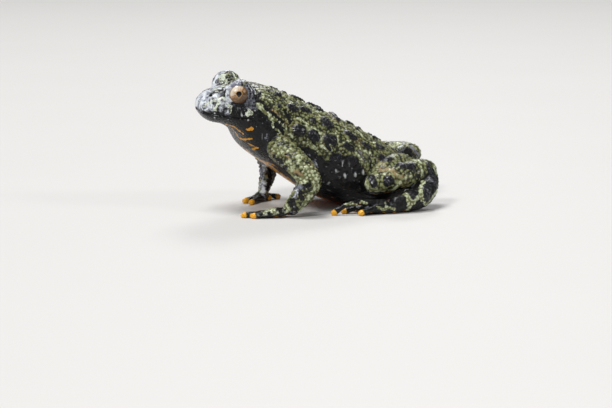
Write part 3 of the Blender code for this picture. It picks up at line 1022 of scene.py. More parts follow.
@dataclass(frozen=True)
class PhotoMarks:
    """The marks that the photograph shows on the skin, by region, in its pixels."""

    ground: tuple[Mark, ...] = (
        *strokes(
            Tint.GREEN, (6.5, 0, 1, (284, 136), (294, 138), (306, 143)),
            (6, 0, 1, (312, 144), (322, 150), (328, 154)),
            (5, 0, 1, (336, 148), (346, 151), (354, 152)), (5, 0, 1, (362, 160), (370, 170)),
        ),
        *strokes(Tint.BLACK, (3.6, 0, 0.9, (258, 128), (268, 122), (282, 131))),
    )
    back: tuple[Mark, ...] = (
        *strokes(
            Tint.WART, (3.7, 0.45, 1, (278, 95)), (3, 0.5, 1, (292, 97.5), (301, 100.5)),
            (3, 0.5, 1, (309, 104), (319, 108.5)), (4.5, 0.5, 1, (291.5, 107), (294, 109)),
            (4, 0.42, 1, (302, 109.5), (307, 111)), (3.6, 0.36, 1, (313.5, 121)),
            (5.2, 0.6, 1, (324.5, 121), (329.5, 126)), (3.6, 0.5, 1, (331, 114.5), (337, 120)),
            (5.8, 0.66, 1, (298.5, 130.5), (299.5, 131)), (5.9, 0.66, 1, (313, 135), (314, 137)),
            (6.2, 0.7, 1, (328, 140), (331.5, 140.5)), (4, 0.5, 1, (347.5, 134), (353, 137)),
            (3.7, 0.45, 1, (345.5, 145), (351, 148)), (3.2, 0.4, 1, (364.5, 145), (369, 148)),
            (3.4, 0.42, 1, (376, 146), (381, 148)), (5.4, 0.46, 1, (382, 159), (387, 160)),
            (3, 0.45, 1, (347, 122.5), (352, 125)), (2.6, 0.4, 1, (372, 137.5), (376, 139)),
            (2.6, 0.26, 1, (279, 106)), (3, 0.3, 1, (325, 148), (330, 150)),
            (2.4, 0.28, 1, (392, 150)), (2.4, 0.24, 1, (259.5, 93.6)), (2.2, 0.22, 1, (268, 91)),
            (2.2, 0.3, 1, (270, 87), (276, 88.5)),
        ),
        # Painted glints on the warts' tops.
        *strokes(
            Tint.FLECK, (0.8, 0.04, 0.75, (296.5, 129)), (0.8, 0.04, 0.7, (301, 133)),
            (0.8, 0.04, 0.75, (311, 134.5)), (0.8, 0.04, 0.75, (325.5, 138.6)),
            (0.8, 0.04, 0.7, (331.5, 137.5)), (0.8, 0.04, 0.75, (324, 120.4)),
            (0.8, 0.04, 0.7, (347, 134.6)),
        ),
        *strokes(
            Tint.BLACK, (1.9, 0, 1, (284, 110), (288, 117), (290, 122)),
            (1.5, 0, 1, (369, 157), (371, 166)), (1.8, 0, 1, (395, 153), (400, 157)),
        ),
        *strokes(
            Tint.PALE, (1.7, 0.05, 0.82, (288, 100), (292, 103)),
            (1.6, 0.05, 0.82, (303, 102.5), (309, 107)),
            (1.5, 0.05, 0.82, (312, 112.5), (326, 113)),
            (1.6, 0.05, 0.82, (337, 118), (341, 124), (347, 128)),
            (1.5, 0.05, 0.82, (305, 125), (319, 132), (321, 143)),
            (1.5, 0.05, 0.82, (336, 131), (338, 145)),
            (1.4, 0.05, 0.82, (354, 149), (360, 158), (366, 168)),
            (1.4, 0.05, 0.82, (357, 131), (365, 139), (374, 144)),
            (1.2, 0.05, 0.82, (329, 145), (334, 153)),
            (1.6, 0.05, 0.82, (303, 142.5), (312, 144.5), (319, 152)),
            (1.5, 0.05, 0.82, (319, 143), (325, 149), (331, 154)),
            (1.2, 0.05, 0.7, (344, 141), (350, 141)),
            (1.3, 0.05, 0.82, (285, 127), (288, 134), (293, 137)),
            (1.3, 0.05, 0.82, (297, 119), (305, 122), (312, 128)),
            (1.3, 0.05, 0.82, (318, 113), (321, 118)),
            (1.3, 0.05, 0.82, (358, 142), (361, 150), (370, 153)),
        ),
        *strokes(Tint.TAN, (1.6, 0.12, 1, (272, 110), (277, 116), (280, 120))),
        *strokes(Tint.ORANGE, (0.9, 0, 0.7, (273, 111.5), (277, 116))),
        *strokes(Tint.PALE, (1.4, 0.05, 0.82, (276, 120), (283, 126), (287, 133))),
    )
    flank: tuple[Mark, ...] = (
        *strokes(Tint.BLACK, (5, 0, 1, (338, 161), (354, 162))),
        *strokes(Tint.WART, (4.6, 0.4, 1, (352, 160), (354, 161))),
        # A faint painted glint.
        *strokes(Tint.GREY, (0.9, 0.08, 0.8, (336, 153.5), (339.5, 158))),
        *strokes(
            Tint.WART, (2.6, 0.3, 1, (332, 158), (335, 160)), (2.6, 0.3, 1, (338, 156), (338, 160)),
        ),
        # Painted glints on the small warts of the black flank.
        *strokes(
            Tint.FLECK, (1.1, 0.3, 0.95, (335.5, 169.5), (335.8, 172)),
            (1.4, 0.34, 1, (344.3, 174), (345.3, 177.5)),
            (1.5, 0.34, 1, (355, 173.5), (355.2, 176)), (1.3, 0.3, 1, (362.5, 171), (363.4, 173.8)),
            (1.2, 0.26, 0.8, (327.5, 184), (329.6, 182.3)),
            (0.9, 0.24, 0.85, (342.6, 161), (341.6, 166)),
            (0.9, 0.2, 0.7, (349, 163.5), (349.4, 166.5)),
            (0.9, 0.22, 0.7, (338.6, 176), (339.2, 178)),
            (0.9, 0.2, 0.6, (351, 170), (351.4, 172.5)), (0.8, 0.1, 0.6, (340, 152.5), (341, 156)),
            (0.8, 0.1, 0.5, (359, 158), (360, 163)), (0.8, 0.2, 0.6, (330.3, 180.2)),
        ),
        *strokes(Tint.ORANGE, (1.6, 0, 0.85, (331, 195), (332, 198))),
    )
    head: tuple[Mark, ...] = (
        *strokes(
            Tint.SILVER, (6, 0, 1, (198, 105), (201, 98), (206, 93)),
            (3.8, 0, 0.8, (209, 90.5), (216, 88.5), (224, 88)),
            (4.2, 0, 0.62, (214, 95), (222, 94)),
        ),
        *strokes(
            Tint.PALE, (2.6, 0, 0.66, (216, 100), (222, 98), (226, 97)),
            (1.6, 0, 0.7, (212, 89.5), (218, 87), (225, 86)),
            (1.3, 0, 0.7, (216, 90.8), (222, 91.4)),
        ),
        *strokes(
            Tint.SILVER, (3.4, 0, 0.66, (212, 106), (209, 110)),
            (3.4, 0, 0.6, (222, 101), (221, 109)),
            (3.4, 0, 0.62, (227, 99), (226, 108), (228, 114)),
        ),
        *strokes(
            Tint.GREY, (5, 0, 0.5, (236, 108), (245, 109), (252, 107)),
            # The chin's grey is painted rim light on its dark lumps.
            (4, 0, 0.36, (204, 114), (214, 119), (222, 121)),
        ),
        *strokes(
            Tint.PALE, (2.4, 0, 0.74, (204, 107), (208, 103.5), (212, 101)),
            (2.2, 0.06, 0.78, (219.5, 101.5), (217.5, 105), (215.5, 109)),
            (2, 0.08, 0.8, (228.6, 104.5), (231.4, 106.5), (229, 108.5)),
        ),
        *strokes(
            Tint.BLACK, (0.9, 0, 0.7, (231.5, 104.6), (230.4, 106.8)),
            (0.8, 0, 0.8, (234.4, 107.4), (231.4, 109.6), (232.6, 112.4)),
        ),
        *strokes(
            Tint.PALE, (1.8, 0.06, 0.78, (233.2, 110), (228.6, 111)),
            (1.5, 0.06, 1, (231.5, 113.5)),
            (1.9, 0.08, 1, (243.4, 113), (247, 112.2), (250.8, 112.8)), (1.2, 0.08, 1, (245, 110)),
            (1.5, 0.08, 1, (247.6, 114.6)),
        ),
        # Bright specks: painted glints on the lumps of cheek and jaw, and pale dots along the lips.
        *strokes(
            Tint.FLECK, (1, 0.08, 1, (245.3, 108.6), (247.6, 108.2)), (1, 0.08, 1, (250.8, 113.4)),
            (1, 0.08, 1, (241.5, 115.7)), (1, 0.08, 1, (248.4, 120)),
            (0.8, 0.08, 1, (244.8, 110.6)), (0.8, 0.08, 1, (222, 107.6)),
            (0.8, 0.06, 0.8, (231, 117)), (0.8, 0.08, 0.7, (236, 113.5)),
            (0.8, 0.08, 0.7, (253.5, 117)), (0.8, 0.08, 0.8, (257.5, 113)),
            (0.8, 0.08, 0.8, (262, 118)), (0.8, 0.08, 0.8, (267, 120.5)),
            (0.8, 0.08, 0.8, (258, 107.5)), (0.9, 0.1, 1, (238, 108.6)),
            (0.9, 0.12, 1, (252.3, 106)), (0.9, 0.1, 1, (254.7, 110.5)),
            (0.6, 0.12, 1, (256.5, 126.4)), (0.6, 0.12, 1, (258.5, 122.6)),
            (0.6, 0.1, 1, (263, 123)), (0.7, 0.08, 1, (228.4, 119.4)),
            (0.9, 0.08, 1, (214.5, 117.4)), (1, 0.08, 1, (215, 113.5)),
            (0.9, 0.08, 1, (207.3, 111)), (0.8, 0.08, 1, (202.5, 112)),
        ),
        # The first black stroke, at the nostril, is painted shade in its hole.
        *strokes(
            Tint.BLACK, (1.1, 0, 1, (209.5, 94.5), (211.5, 95.5), (212.5, 95)),
            (0.9, 0, 0.66, (212, 92), (217, 91.6), (222, 93.4)),
            (0.8, 0, 0.66, (215, 96.6), (219, 95.8), (223, 95.6)),
            (1.4, 0, 0.9, (215.5, 82.5), (218, 84), (223, 85)),
            (1.2, 0, 0.8, (223.5, 103), (223.5, 110), (221, 118)),
            (1.2, 0, 0.8, (219, 110), (217.5, 117)),
            (1, 0, 0.75, (212.8, 99.5), (213.5, 104), (211, 112)),
            (1.8, 0, 1, (237, 105.2), (243, 105.4), (249, 104.3)),
            (1.6, 0, 0.9, (238, 112), (236, 117)),
        ),
        # Painted highlight along the brow ridge, from in front of the eye over its top.
        *strokes(
            Tint.SILVER,
            (2.6, 0, 0.95, (228.8, 101.5), (227.2, 96), (228.4, 90), (232.5, 85.6), (238, 83.4)),
            (2.4, 0, 0.75, (224, 90), (229, 86), (235, 82), (243, 80.5)),
        ),
        *strokes(Tint.GREY, (2.2, 0, 0.7, (247, 81), (253, 83.5))),
        *strokes(Tint.BLACK, (0.9, 0, 0.9, (242, 82.5), (242.5, 84.8))),
        *strokes(Tint.TAN, (1.3, 0, 0.8, (245.5, 83.2), (248, 84.2))),
        *strokes(Tint.GREY, (3.6, 0, 1, (248, 87), (251, 92), (250.8, 99), (248, 103))),
        # Painted shade: black lines in the folds behind the eye.
        *strokes(
            Tint.BLACK, (0.8, 0, 1, (247, 86), (249.6, 90), (250.4, 95), (249.6, 98.5)),
            (0.9, 0, 1, (249.4, 84.8), (252.8, 89.5), (253.6, 95), (252.6, 98.5)),
            (1.1, 0, 0.9, (251.5, 85), (255, 90), (255.6, 96)),
        ),
        *strokes(
            Tint.FOLD, (0.7, -0.16, 1, (247, 86), (249.6, 90), (250.4, 95), (249.6, 98.5)),
            (0.7, -0.18, 1, (249, 84.8), (252.4, 89.5), (253.3, 95), (252.4, 98)),
        ),
        # Painted highlight: pale crests between those folds.
        *strokes(
            Tint.SILVER, (0.8, 0, 0.95, (248.3, 85.6), (251.1, 90), (251.9, 94.5)),
            (0.8, 0, 0.8, (251, 85.2), (254.4, 89.6), (255.2, 94)),
        ),
        *strokes(Tint.BLACK, (2, 0, 1, (255, 98), (262, 107), (272, 113), (282, 121))),
        *strokes(
            Tint.PALE, (2.2, 0.25, 1, (258.5, 103.5), (262, 110), (267, 114), (273, 119.5)),
            (1.5, 0.18, 1, (261, 98), (266, 98.5), (271, 101.5)),
        ),
        *strokes(Tint.GREEN, (1.5, 0.12, 1, (271, 103), (277, 109), (282, 115))),
        *strokes(Tint.BLACK, (2, 0, 0.8, (253.5, 83), (256, 86))),
        *strokes(Tint.PALE, (1.7, 0, 0.7, (257.5, 87.5), (259, 91))),
        *strokes(Tint.BLACK, (1.6, 0, 0.7, (257, 84), (262, 86))),
        *strokes(
            Tint.PALE, (1.2, 0, 0.8, (262, 94), (269, 95.5)), (1.1, 0, 1, (272, 124), (273, 127)),
            (1.1, 0, 1, (276.5, 129), (281, 133)), (0.9, 0, 1, (278.5, 138), (279.5, 139)),
        ),
        *strokes(
            Tint.FOLD, (1.1, -0.2, 1, (256, 100), (263, 104), (270, 111), (284, 121)),
            (1.1, -0.12, 1, (213, 97.5), (218, 96.5), (225, 94)),
            (0.9, -0.1, 1, (213, 92.5), (220, 93), (226, 92)),
        ),
    )
    far_eye: tuple[Mark, ...] = (
        *strokes(Tint.SILVER, (4, 0, 0.9, (214, 87), (214.5, 80), (218.5, 73.5), (226, 70.5))),
        *strokes(Tint.PALE, (4.4, 0, 0.85, (222.5, 76.5), (225.5, 80))),
        # Painted shade in the fold along the mound's far edge.
        *strokes(Tint.BLACK, (1.3, -0.1, 0.9, (229.5, 72), (232, 76), (233.2, 81))),
        *strokes(Tint.PALE, (1.2, 0, 0.9, (233, 73), (235.5, 78))),
        *strokes(Tint.BLACK, (1, 0, 0.9, (215.8, 82.4), (216.6, 83.4))),
    )
    throat: tuple[Mark, ...] = (
        *strokes(
            Tint.ORANGE, (1.1, 0, 1, (225.5, 124), (233, 126), (239, 130.5), (243, 133.5)),
            (0.7, 0, 0.9, (232, 128.5), (236, 133)), (2.1, 0, 1, (248, 130), (251.5, 129)),
            (1.3, 0, 1, (236, 133), (238.5, 137)),
            (1, 0, 1, (239.5, 138), (246, 139.5), (252, 138.5)),
            (0.8, 0, 0.9, (248, 143.5), (254, 146)), (1.9, 0, 1, (254, 149), (257, 148)),
        ),
        *strokes(Tint.BLACK, (3, 0, 1, (268, 158), (280, 165), (291, 174))),
        *strokes(
            Tint.ORANGE,
            (1, 0, 1, (263, 161.5), (268, 162.5), (275, 165.5), (282, 172.5), (289, 181)),
        ),
        *strokes(Tint.GREY, (0.9, 0, 0.8, (268, 166), (276, 171), (285, 179))),
        *strokes(Tint.FLECK, (0.8, 0, 0.7, (262, 133), (262.5, 139))),
        *strokes(Tint.FOLD, (3, 0.14, 1, (268, 134), (267, 141))),
        *strokes(Tint.GREY, (2.4, 0, 0.46, (268, 133), (267, 141))),
    )
    arm: tuple[Mark, ...] = (
        *strokes(Tint.BLACK, (5.2, -0.12, 1, (305, 152), (313, 159), (319, 168))),
        *strokes(
            Tint.GREY, (0.9, 0.08, 0.8, (302, 152), (309, 154.5), (316, 160)),
            (0.9, 0.08, 0.8, (303, 156), (311, 160), (318, 167)),
            (0.9, 0.08, 0.8, (307, 161), (313, 166), (319, 174)),
        ),
        *strokes(Tint.SILVER, (0.9, 0.08, 0.6, (314.5, 161), (317, 165))),
        *strokes(
            Tint.FOLD, (0.8, -0.16, 1, (301, 151.5), (309, 153), (316, 158)),
            (0.8, -0.16, 1, (302, 155.5), (310, 158), (318, 166)),
            (0.8, -0.14, 1, (306, 160.5), (313, 165), (319, 173)),
        ),
        # Painted shadow under the upper arm, above the wrinkled patch.
        *strokes(Tint.BLACK, (2, 0, 1, (302, 149), (308, 148.5), (314, 152))),
        *strokes(
            Tint.PALE, (3, 0, 0.9, (274, 148), (280, 152)), (2.6, 0, 0.8, (287, 149), (291, 152)),
            (3.2, 0, 0.9, (288, 162), (293, 168)), (3.2, 0, 0.8, (298, 157), (300, 163)),
        ),
        *strokes(Tint.TAN, (2.4, 0, 0.9, (295, 171), (302, 175.5))),
        *strokes(
            Tint.PALE, (4.2, 0, 0.95, (306, 168), (313, 176), (316, 186)),
            (4, 0, 1, (297, 180), (304, 179)),
        ),
        *strokes(
            Tint.BLACK, (1.5, 0, 0.9, (286, 154), (290, 155)),
            (2.6, 0, 1, (275, 157), (282, 162), (287, 168), (291, 175)),
        ),
        # Painted glints on the arm's dark skin.
        *strokes(Tint.FLECK, (1, 0.1, 1, (278.6, 160.8)), (1.1, 0.12, 1, (282.4, 164.2))),
        *strokes(Tint.TAN, (1.6, 0, 0.9, (286, 154), (289, 159))),
        *strokes(Tint.BLACK, (2.2, 0, 1, (304, 187), (309, 184))),
        *strokes(Tint.GREY, (2.6, 0, 1, (294, 187.5), (301, 187.5))),
        *strokes(Tint.BLACK, (2.6, 0, 1, (301, 192), (302, 198))),
        *strokes(Tint.GREY, (2.4, 0, 0.9, (297, 192), (295.5, 198))),
        *strokes(
            Tint.SILVER, (1, 0.04, 0.8, (293.5, 190), (297.5, 190.5)),
            (0.9, 0.04, 0.8, (297.5, 192.5), (294.5, 197)),
        ),
        *strokes(Tint.BLACK, (0.8, -0.06, 0.9, (293, 188), (299, 188.6))),
        *strokes(Tint.PALE, (2.4, 0, 1, (293, 184), (290, 193), (285.5, 200), (284, 205))),
        *strokes(Tint.BLACK, (3.8, 0, 1, (292, 202), (294.5, 208))),
        # A painted glint.
        *strokes(Tint.FLECK, (1.2, 0.12, 1, (294, 206.5))),
        *strokes(
            Tint.PALE, (2.6, 0, 0.9, (314, 190), (308, 197), (303, 205), (299.5, 211)),
            (2, 0, 1, (286, 204), (287.5, 211)),
        ),
        *strokes(Tint.BLACK, (0.9, 0, 1, (285.2, 209.6))),
        *strokes(Tint.GREY, (1.3, 0, 1, (290, 212), (296, 212.5))),
        *strokes(Tint.BLACK, (2.4, 0, 1, (280.5, 206), (280.5, 211))),
        *strokes(Tint.SILVER, (3.6, 0, 0.55, (264, 212.5), (272, 208.5))),
        *strokes(Tint.PALE, (3.4, 0, 1, (263, 213), (271, 208.5), (274, 211))),
        *strokes(
            Tint.BLACK, (1.4, 0, 0.9, (262, 216.5), (270, 217.5)),
            (1.2, 0, 1, (252, 213), (259, 211)),
        ),
        # Painted highlights along the tops of the fingers.
        *strokes(Tint.GREY, (1.3, 0, 1, (252, 211.5), (257, 209.5), (264, 207))),
        *strokes(Tint.BLACK, (1.9, 0, 1, (258.4, 212.6), (261, 213.6))),
        *strokes(Tint.TIP, (2.3, 0, 1, (253, 216))),
    )
    far_arm: tuple[Mark, ...] = (
        *strokes(Tint.BLACK, (2.6, 0, 1, (269, 168), (269.5, 178), (267, 188))),
        # The pale grey down the far forearm's left edge is partly painted highlight where the light
        # falls on it.
        *strokes(
            Tint.SILVER, (3.2, 0, 1, (264, 164), (261.5, 172), (261, 178)),
            (3, 0, 1, (262, 182), (262.5, 190)),
        ),
        *strokes(Tint.PALE, (2.2, 0, 1, (259.6, 179.5), (262, 183.5))),
        *strokes(Tint.BLACK, (2, 0, 1, (254, 198), (264, 198))),
        *strokes(Tint.PALE, (1.7, 0, 1, (261, 189.5), (257.5, 191.8), (254.5, 194.5))),
        *strokes(Tint.SILVER, (1.4, 0, 1, (269, 191.8), (272, 193), (276, 195.5))),
        *strokes(Tint.GREY, (1.3, 0, 1, (262, 193.5), (265, 196))),
        *strokes(Tint.SILVER, (1.6, 0, 1, (262.5, 181), (262, 188))),
    )
    leg: tuple[Mark, ...] = (
        *strokes(
            Tint.WART, (5, 0.45, 1, (401, 166), (410.5, 166.5)), (5.4, 0.5, 1, (388.5, 180.5)),
            (3.4, 0.3, 1, (371.5, 176.5), (374, 184)),
        ),
        # Painted glints on the shank's warts.
        *strokes(
            Tint.FLECK, (0.8, 0.08, 1, (374.6, 174.8)), (0.7, 0.06, 1, (377.6, 176.4)),
            (0.8, 0.08, 1, (370.2, 179.6)), (0.9, 0.08, 1, (371.8, 182), (373, 183.2)),
            (0.7, 0.06, 1, (369.4, 185)), (0.7, 0.05, 1, (399.5, 164.4), (401, 165)),
            (0.7, 0.05, 1, (387.2, 178)),
        ),
        *strokes(Tint.BLACK, (2.2, 0, 1, (418.5, 176), (419, 183), (414, 188))),
        *strokes(
            Tint.WART, (4.6, 0.25, 1, (410, 187), (403, 189)),
            (3.4, 0.35, 1, (427.5, 165), (428.5, 171)),
        ),
        *strokes(Tint.BLACK, (2, 0, 1, (416, 157), (421, 158))),
        *strokes(
            Tint.WART, (4.2, 0.3, 1, (432, 178), (433.5, 182)),
            (4.2, 0.3, 1, (428, 187), (425, 195)), (3.6, 0.25, 1, (412, 195), (415, 196)),
        ),
        *strokes(
            Tint.PALE, (2.2, 0, 1, (423, 182), (420, 191), (421, 198), (425.5, 204)),
            (2.6, 0, 1, (404.5, 194), (410, 202), (407.5, 210)),
            (2.2, 0, 1, (417, 198), (412, 203)), (1.8, 0, 1, (437, 190), (432, 197), (426, 204)),
            (2, 0.1, 1, (366, 184), (371, 189), (379, 191)),
            (1.9, 0.1, 0.9, (390, 190.5), (396, 187.5), (400, 183)),
            (1.6, 0.1, 1, (407, 159.5), (414, 161), (419, 166)),
            (1.5, 0.1, 1, (382, 174), (386, 173)), (1.3, 0.1, 1, (389.5, 170.4)),
            (1.3, 0.1, 1, (397.2, 174.2)), (1.8, 0.08, 0.75, (404, 179), (411, 175)),
            (1.8, 0.08, 0.9, (418, 160), (422, 168), (421, 175)),
            (2.2, 0.08, 0.9, (434, 168), (436, 174)),
        ),
        *strokes(Tint.BLACK, (4, 0, 1, (396, 202), (402, 203))),
        *strokes(Tint.PALE, (2, 0, 0.8, (384.5, 203.5), (389, 201))),
        *strokes(Tint.FLECK, (0.8, 0, 1, (386, 205.5)), (0.8, 0, 1, (391, 204.8))),
        *strokes(
            Tint.PALE, (1.6, 0, 0.8, (377, 207), (383, 209), (388, 207.5)),
            (1.5, 0, 0.8, (390, 208), (395, 209.5)), (1.2, 0, 1, (346, 204), (357, 204)),
            (1.5, 0, 1, (362, 202.5), (366, 204)),
        ),
        # Painted highlights along the toes.
        *strokes(
            Tint.GREY, (1, 0, 0.9, (337, 207), (334.5, 209.5)),
            (1, 0, 1, (362, 210), (367, 207), (374, 206)),
        ),
        *strokes(Tint.BLACK, (1.4, 0, 1, (381, 191), (384, 192))),
        *strokes(
            Tint.TAN, (3.6, 0, 0.72, (381, 170), (389, 170), (396, 174)),
            (2.4, 0, 0.66, (400, 177), (406, 178)),
        ),
    )
    far_leg: tuple[Mark, ...] = (
        *strokes(Tint.BLACK, (4.4, 0, 1, (400, 152), (407, 150), (411, 156))),
        # Painted sheen on the black inner side of the far leg.
        *strokes(Tint.GREY, (3.2, 0, 1, (411, 147), (415, 151), (417, 155))),
        *strokes(
            Tint.PALE, (2.4, 0, 1, (392, 146.5), (398, 143.5), (407, 142.3)),
            (1.4, 0, 0.9, (407, 141.8), (414, 143.4), (419, 149)),
        ),
        *strokes(Tint.SILVER, (1.2, 0, 0.8, (399, 147.5), (402, 145.8))),
    )


# The colours that a mark takes away where it lies.
CLEARED: dict[Tint, tuple[Tint, ...]] = {
    Tint.BLACK: (
        Tint.GREEN, Tint.GREY, Tint.SILVER, Tint.ORANGE, Tint.PALE, Tint.FLECK, Tint.TAN, Tint.TIP
    ),
    Tint.GREEN: (Tint.WART, Tint.ORANGE, Tint.GREY, Tint.SILVER),
    Tint.PALE: (Tint.WART, Tint.ORANGE, Tint.GREY, Tint.SILVER),
    Tint.SILVER: (Tint.PALE, Tint.TAN),
    Tint.GREY: (Tint.PALE, Tint.SILVER),
}


@dataclass
class Painter:
    """Raises and colours the skin by its regions and by the marks of the photograph."""

    flesh: Flesh
    where: BodyMap
    view: PhotoView
    legs: dict[Side, LegPlan]
    jitter: float = 0.35
    full_wander: float = 0.42
    seed: int = 5
    green_limit: tuple[tuple[float, float], ...] = (
        (0.0, 178), (1.5, 172), (2.2, 160), (3.2, 150), (4.2, 142), (5.1, 140), (5.6, 158),
        (6.25, 172), (6.8, 176), (7.6, 174), (8.4, 166), (9.0, 166), (9.4, 172), (10.5, 174),
        (13.0, 174),
    )
    limb_green: tuple[tuple[str, float, float], ...] = (
        ("upper", 0.78, 0.7), ("fore", 0.68, 0.6), ("hand", 0.40, 0.2), ("thigh", 0.74, 0.7),
        ("shank", 0.82, 0.76), ("tarsus", 0.14, 0.1), ("foot", 0.2, 0.2),
    )
    wobbles: tuple[tuple[float, float, int], ...] = ((0.30, 0.9, 3), (0.17, 2.6, 4))
    limb_beads: Beads = Beads(0.60, 0.36, 0.5, 21)
    side_beads: Beads = Beads(1.10, 0.36, 0.45, 31)
    fine_beads: Beads = Beads(0.46, 0.28, 0.5, 41)
    wart_beads: Beads = Beads(0.46, 0.29, 0.4, 51)
    head_end: float = 4.9
    face_end: float = 4.6
    snout_end: float = 2.0
    tip_radius: float = 0.74
    tip_edge: float = 0.3
    search: int = 24
    wart_foot: float = 1.12
    wart_bulge: float = 0.6
    ring_radius: float = 1.25
    ring_rim_and_shadow: float = 0.08
    far_sizes: tuple[float, float] = (0.85, 1.12)
    crowding: float = 1.25
    fill_rows: tuple[float, float] = (5.6, 11.6)
    fill_limits: tuple[float, float] = (106.0, 150.0)
    fill_spacing: float = 2.3
    fill_radii: tuple[float, float] = (0.5, 0.95)
    fill_gap: float = 1.4
    fill_height: float = 0.5

    def __post_init__(self) -> None:
        """Sets up empty fields and the draws."""
        self.draw = random.Random(self.seed)
        self.tree = self.flesh.tree()
        count = len(self.flesh.points)
        self.fields = {tint: np.zeros(count) for tint in Tint}
        self.height = np.zeros(count)
        self.lump = np.zeros(count)
        self.face = np.zeros(count)
        self.wander = sum(self.flesh.wobble(*wobble) for wobble in self.wobbles)
        self.warts: list[tuple[Vector, float]] = []

    def base(self) -> None:
        """Lays the ground colours of each region."""
        where, flesh = self.where, self.flesh
        trunk = where.share["trunk"]
        limit = np.interp(where.place, *zip(*self.green_limit))
        green = ramp(limit - where.around, -9, 9)
        down = ramp(-flesh.normals[:, 2], 0.45, 0.85)
        head = ramp(self.head_end - where.place, -0.4, 0.4)
        behind_eyes = ridge(where.place - 5.4, 1.2)
        self.fields[Tint.GREEN] = trunk * green * (0.76 - 0.20 * head - 0.12 * behind_eyes)
        for part, above, less_below in self.limb_green:
            self.fields[Tint.GREEN] += where.of(part) * (above - less_below * down)
        belly = ramp(where.around, 232, 254) * ramp(where.place, 3.0, 6.0)
        belly *= ramp(-flesh.normals[:, 2], -0.1, 0.3)
        self.fields[Tint.ORANGE] = trunk * belly * 0.56 + (1 - trunk) * down * 0.44
        self.fields[Tint.RED] = trunk * ramp(where.place, 7.0, 9.0) * ramp(where.around, 215, 235)
        # The snout's pale grey is partly painted highlight on its glossy front.
        snout = ramp(self.snout_end - where.place, -0.8, 0.8) * ramp(186 - where.around, -6, 14)
        self.fields[Tint.SILVER] = trunk * 0.72 * snout
        self.fields[Tint.GREY] = trunk * 0.36 * head * green
        far_arm = where.share["right_upper"] + where.share["right_fore"]
        self.fields[Tint.GREY] += 0.45 * far_arm * (1 - down)
        self.fields[Tint.GREY] += 0.3 * where.of("hand") * (1 - down)

    def cast(self, mark: Mark) -> np.ndarray:
        """The places on the skin that a mark's pixels show, or the nearest ones past its edge."""
        stand = self.view.stand()
        places = []
        for pixel in mark.path:
            ray = self.view.ray(pixel)
            hit = self.tree.ray_cast(stand, ray)[0]
            if hit is None:
                depths = range(-self.search, self.search + 1)
                tries = [stand + ray * (self.view.distance + depth) for depth in depths]
                hit = min(map(self.tree.find_nearest, tries), key=lambda found: found[3])[0]
            places.append(hit)
        return np.array(places)

    def mirrored(self, path: np.ndarray, on_leg: bool) -> np.ndarray:
        """A near-side path moved to the far side, a little off its mirror image.

        Args:
            path: the places on the near side.
            on_leg: whether they lie on the hind leg.

        Returns:
            The places on the far side.
        """
        places = []
        shift = Vector([self.draw.uniform(-self.jitter, self.jitter) for _ in range(3)])
        for point in path:
            if on_leg:
                mirror = Vector(self.legs[Side.RIGHT].on_side(tuple(point)))
            else:
                mirror = self.where.twin(Vector(point))
            places.append(self.tree.find_nearest(mirror + shift)[0])
        return np.array(places)

    def press(self, mark: Mark, path: np.ndarray, radius: float) -> None:
        """Adds one mark to the fields.

        Args:
            mark: the mark.
            path: its places on the skin.
            radius: its radius in millimetres.
        """
        stray = 0 if mark.tint is Tint.FOLD else min(1, radius / self.full_wander)
        gap = self.flesh.to_path(path, self.flesh.points + stray * self.wander)
        depth = mark.share * np.clip(1 - gap / (2 * radius), 0, 1)
        if mark.tint is Tint.WART:
            self.warts += [(Vector(point), radius) for point in path]
            rise = np.clip(1 - (gap / (self.wart_foot * radius)) ** 2, 0, 1)
            self.height = np.maximum(self.height, mark.lift * rise**self.wart_bulge)
            self.fields[Tint.WART] = np.maximum(self.fields[Tint.WART], depth)
            # Painted shadow round each wart's foot, over a dark rim of the skin: the green is taken
            # back in a ring.
            ring = ridge(gap - self.ring_radius * radius, 0.3 * radius + 0.12)
            self.fields[Tint.GREEN] -= self.ring_rim_and_shadow * ring
            return
        self.height += mark.lift * ridge(gap, radius)
        if mark.tint is Tint.FOLD:
            return
        for tint in CLEARED.get(mark.tint, ()):
            self.fields[tint] = np.minimum(self.fields[tint], 1 - depth)
        if mark.tint is not Tint.BLACK:
            self.fields[mark.tint] = np.maximum(self.fields[mark.tint], depth)
        if mark.tint is Tint.PALE:
            self.fields[Tint.GREEN] = np.maximum(self.fields[Tint.GREEN], depth)

    def mark(self, marks: tuple[Mark, ...], on_leg: bool = False, twins: bool = True) -> None:
        """Adds marks where the photograph shows them, and their likes on the far side.

        Args:
            marks: the marks.
            on_leg: whether they lie on the hind leg.
            twins: whether the far side gets likes of them.
        """
        for mark in marks:
            path = self.cast(mark)
            radius = mark.radius * self.view.pixel_size()
            self.press(mark, path, radius)
            if not twins:
                continue
            far = self.mirrored(path, on_leg)
            size = radius * self.draw.uniform(*self.far_sizes)
            crowded = any(
                (Vector(point) - other).length < self.crowding * (size + reach)
                for point in far for other, reach in self.warts
            )
            if mark.tint is not Tint.WART or not crowded:
                self.press(mark, far, size)

    def fill_back(self) -> None:
        """Adds warts where the photograph can't show any: over the spine and down the far side."""
        where, (start, end), (near, far) = self.where, self.fill_rows, self.fill_limits
        free = (where.share["trunk"] > 0.9) & (where.place > start) & (where.place < end)
        free &= np.where(where.left, where.around < near, where.around < far)
        for place in self.flesh.scatter(free, self.fill_spacing, self.seed):
            radius = self.draw.uniform(*self.fill_radii)
            if all(
                (Vector(place) - other).length > self.fill_gap * (radius + reach)
                for other, reach in self.warts
            ):
                mark = Mark(Tint.WART, 1, self.fill_height * radius, 1)
                self.press(mark, np.array([place]), radius)

    def tips(self, tips: list[Vector]) -> None:
        """Colours the ends of the digits orange."""
        near = self.flesh.to_points(np.array(tips))
        share = 1 - ramp(near, self.tip_radius - self.tip_edge, self.tip_radius + self.tip_edge)
        self.fields[Tint.TIP] = np.maximum(self.fields[Tint.TIP], share)

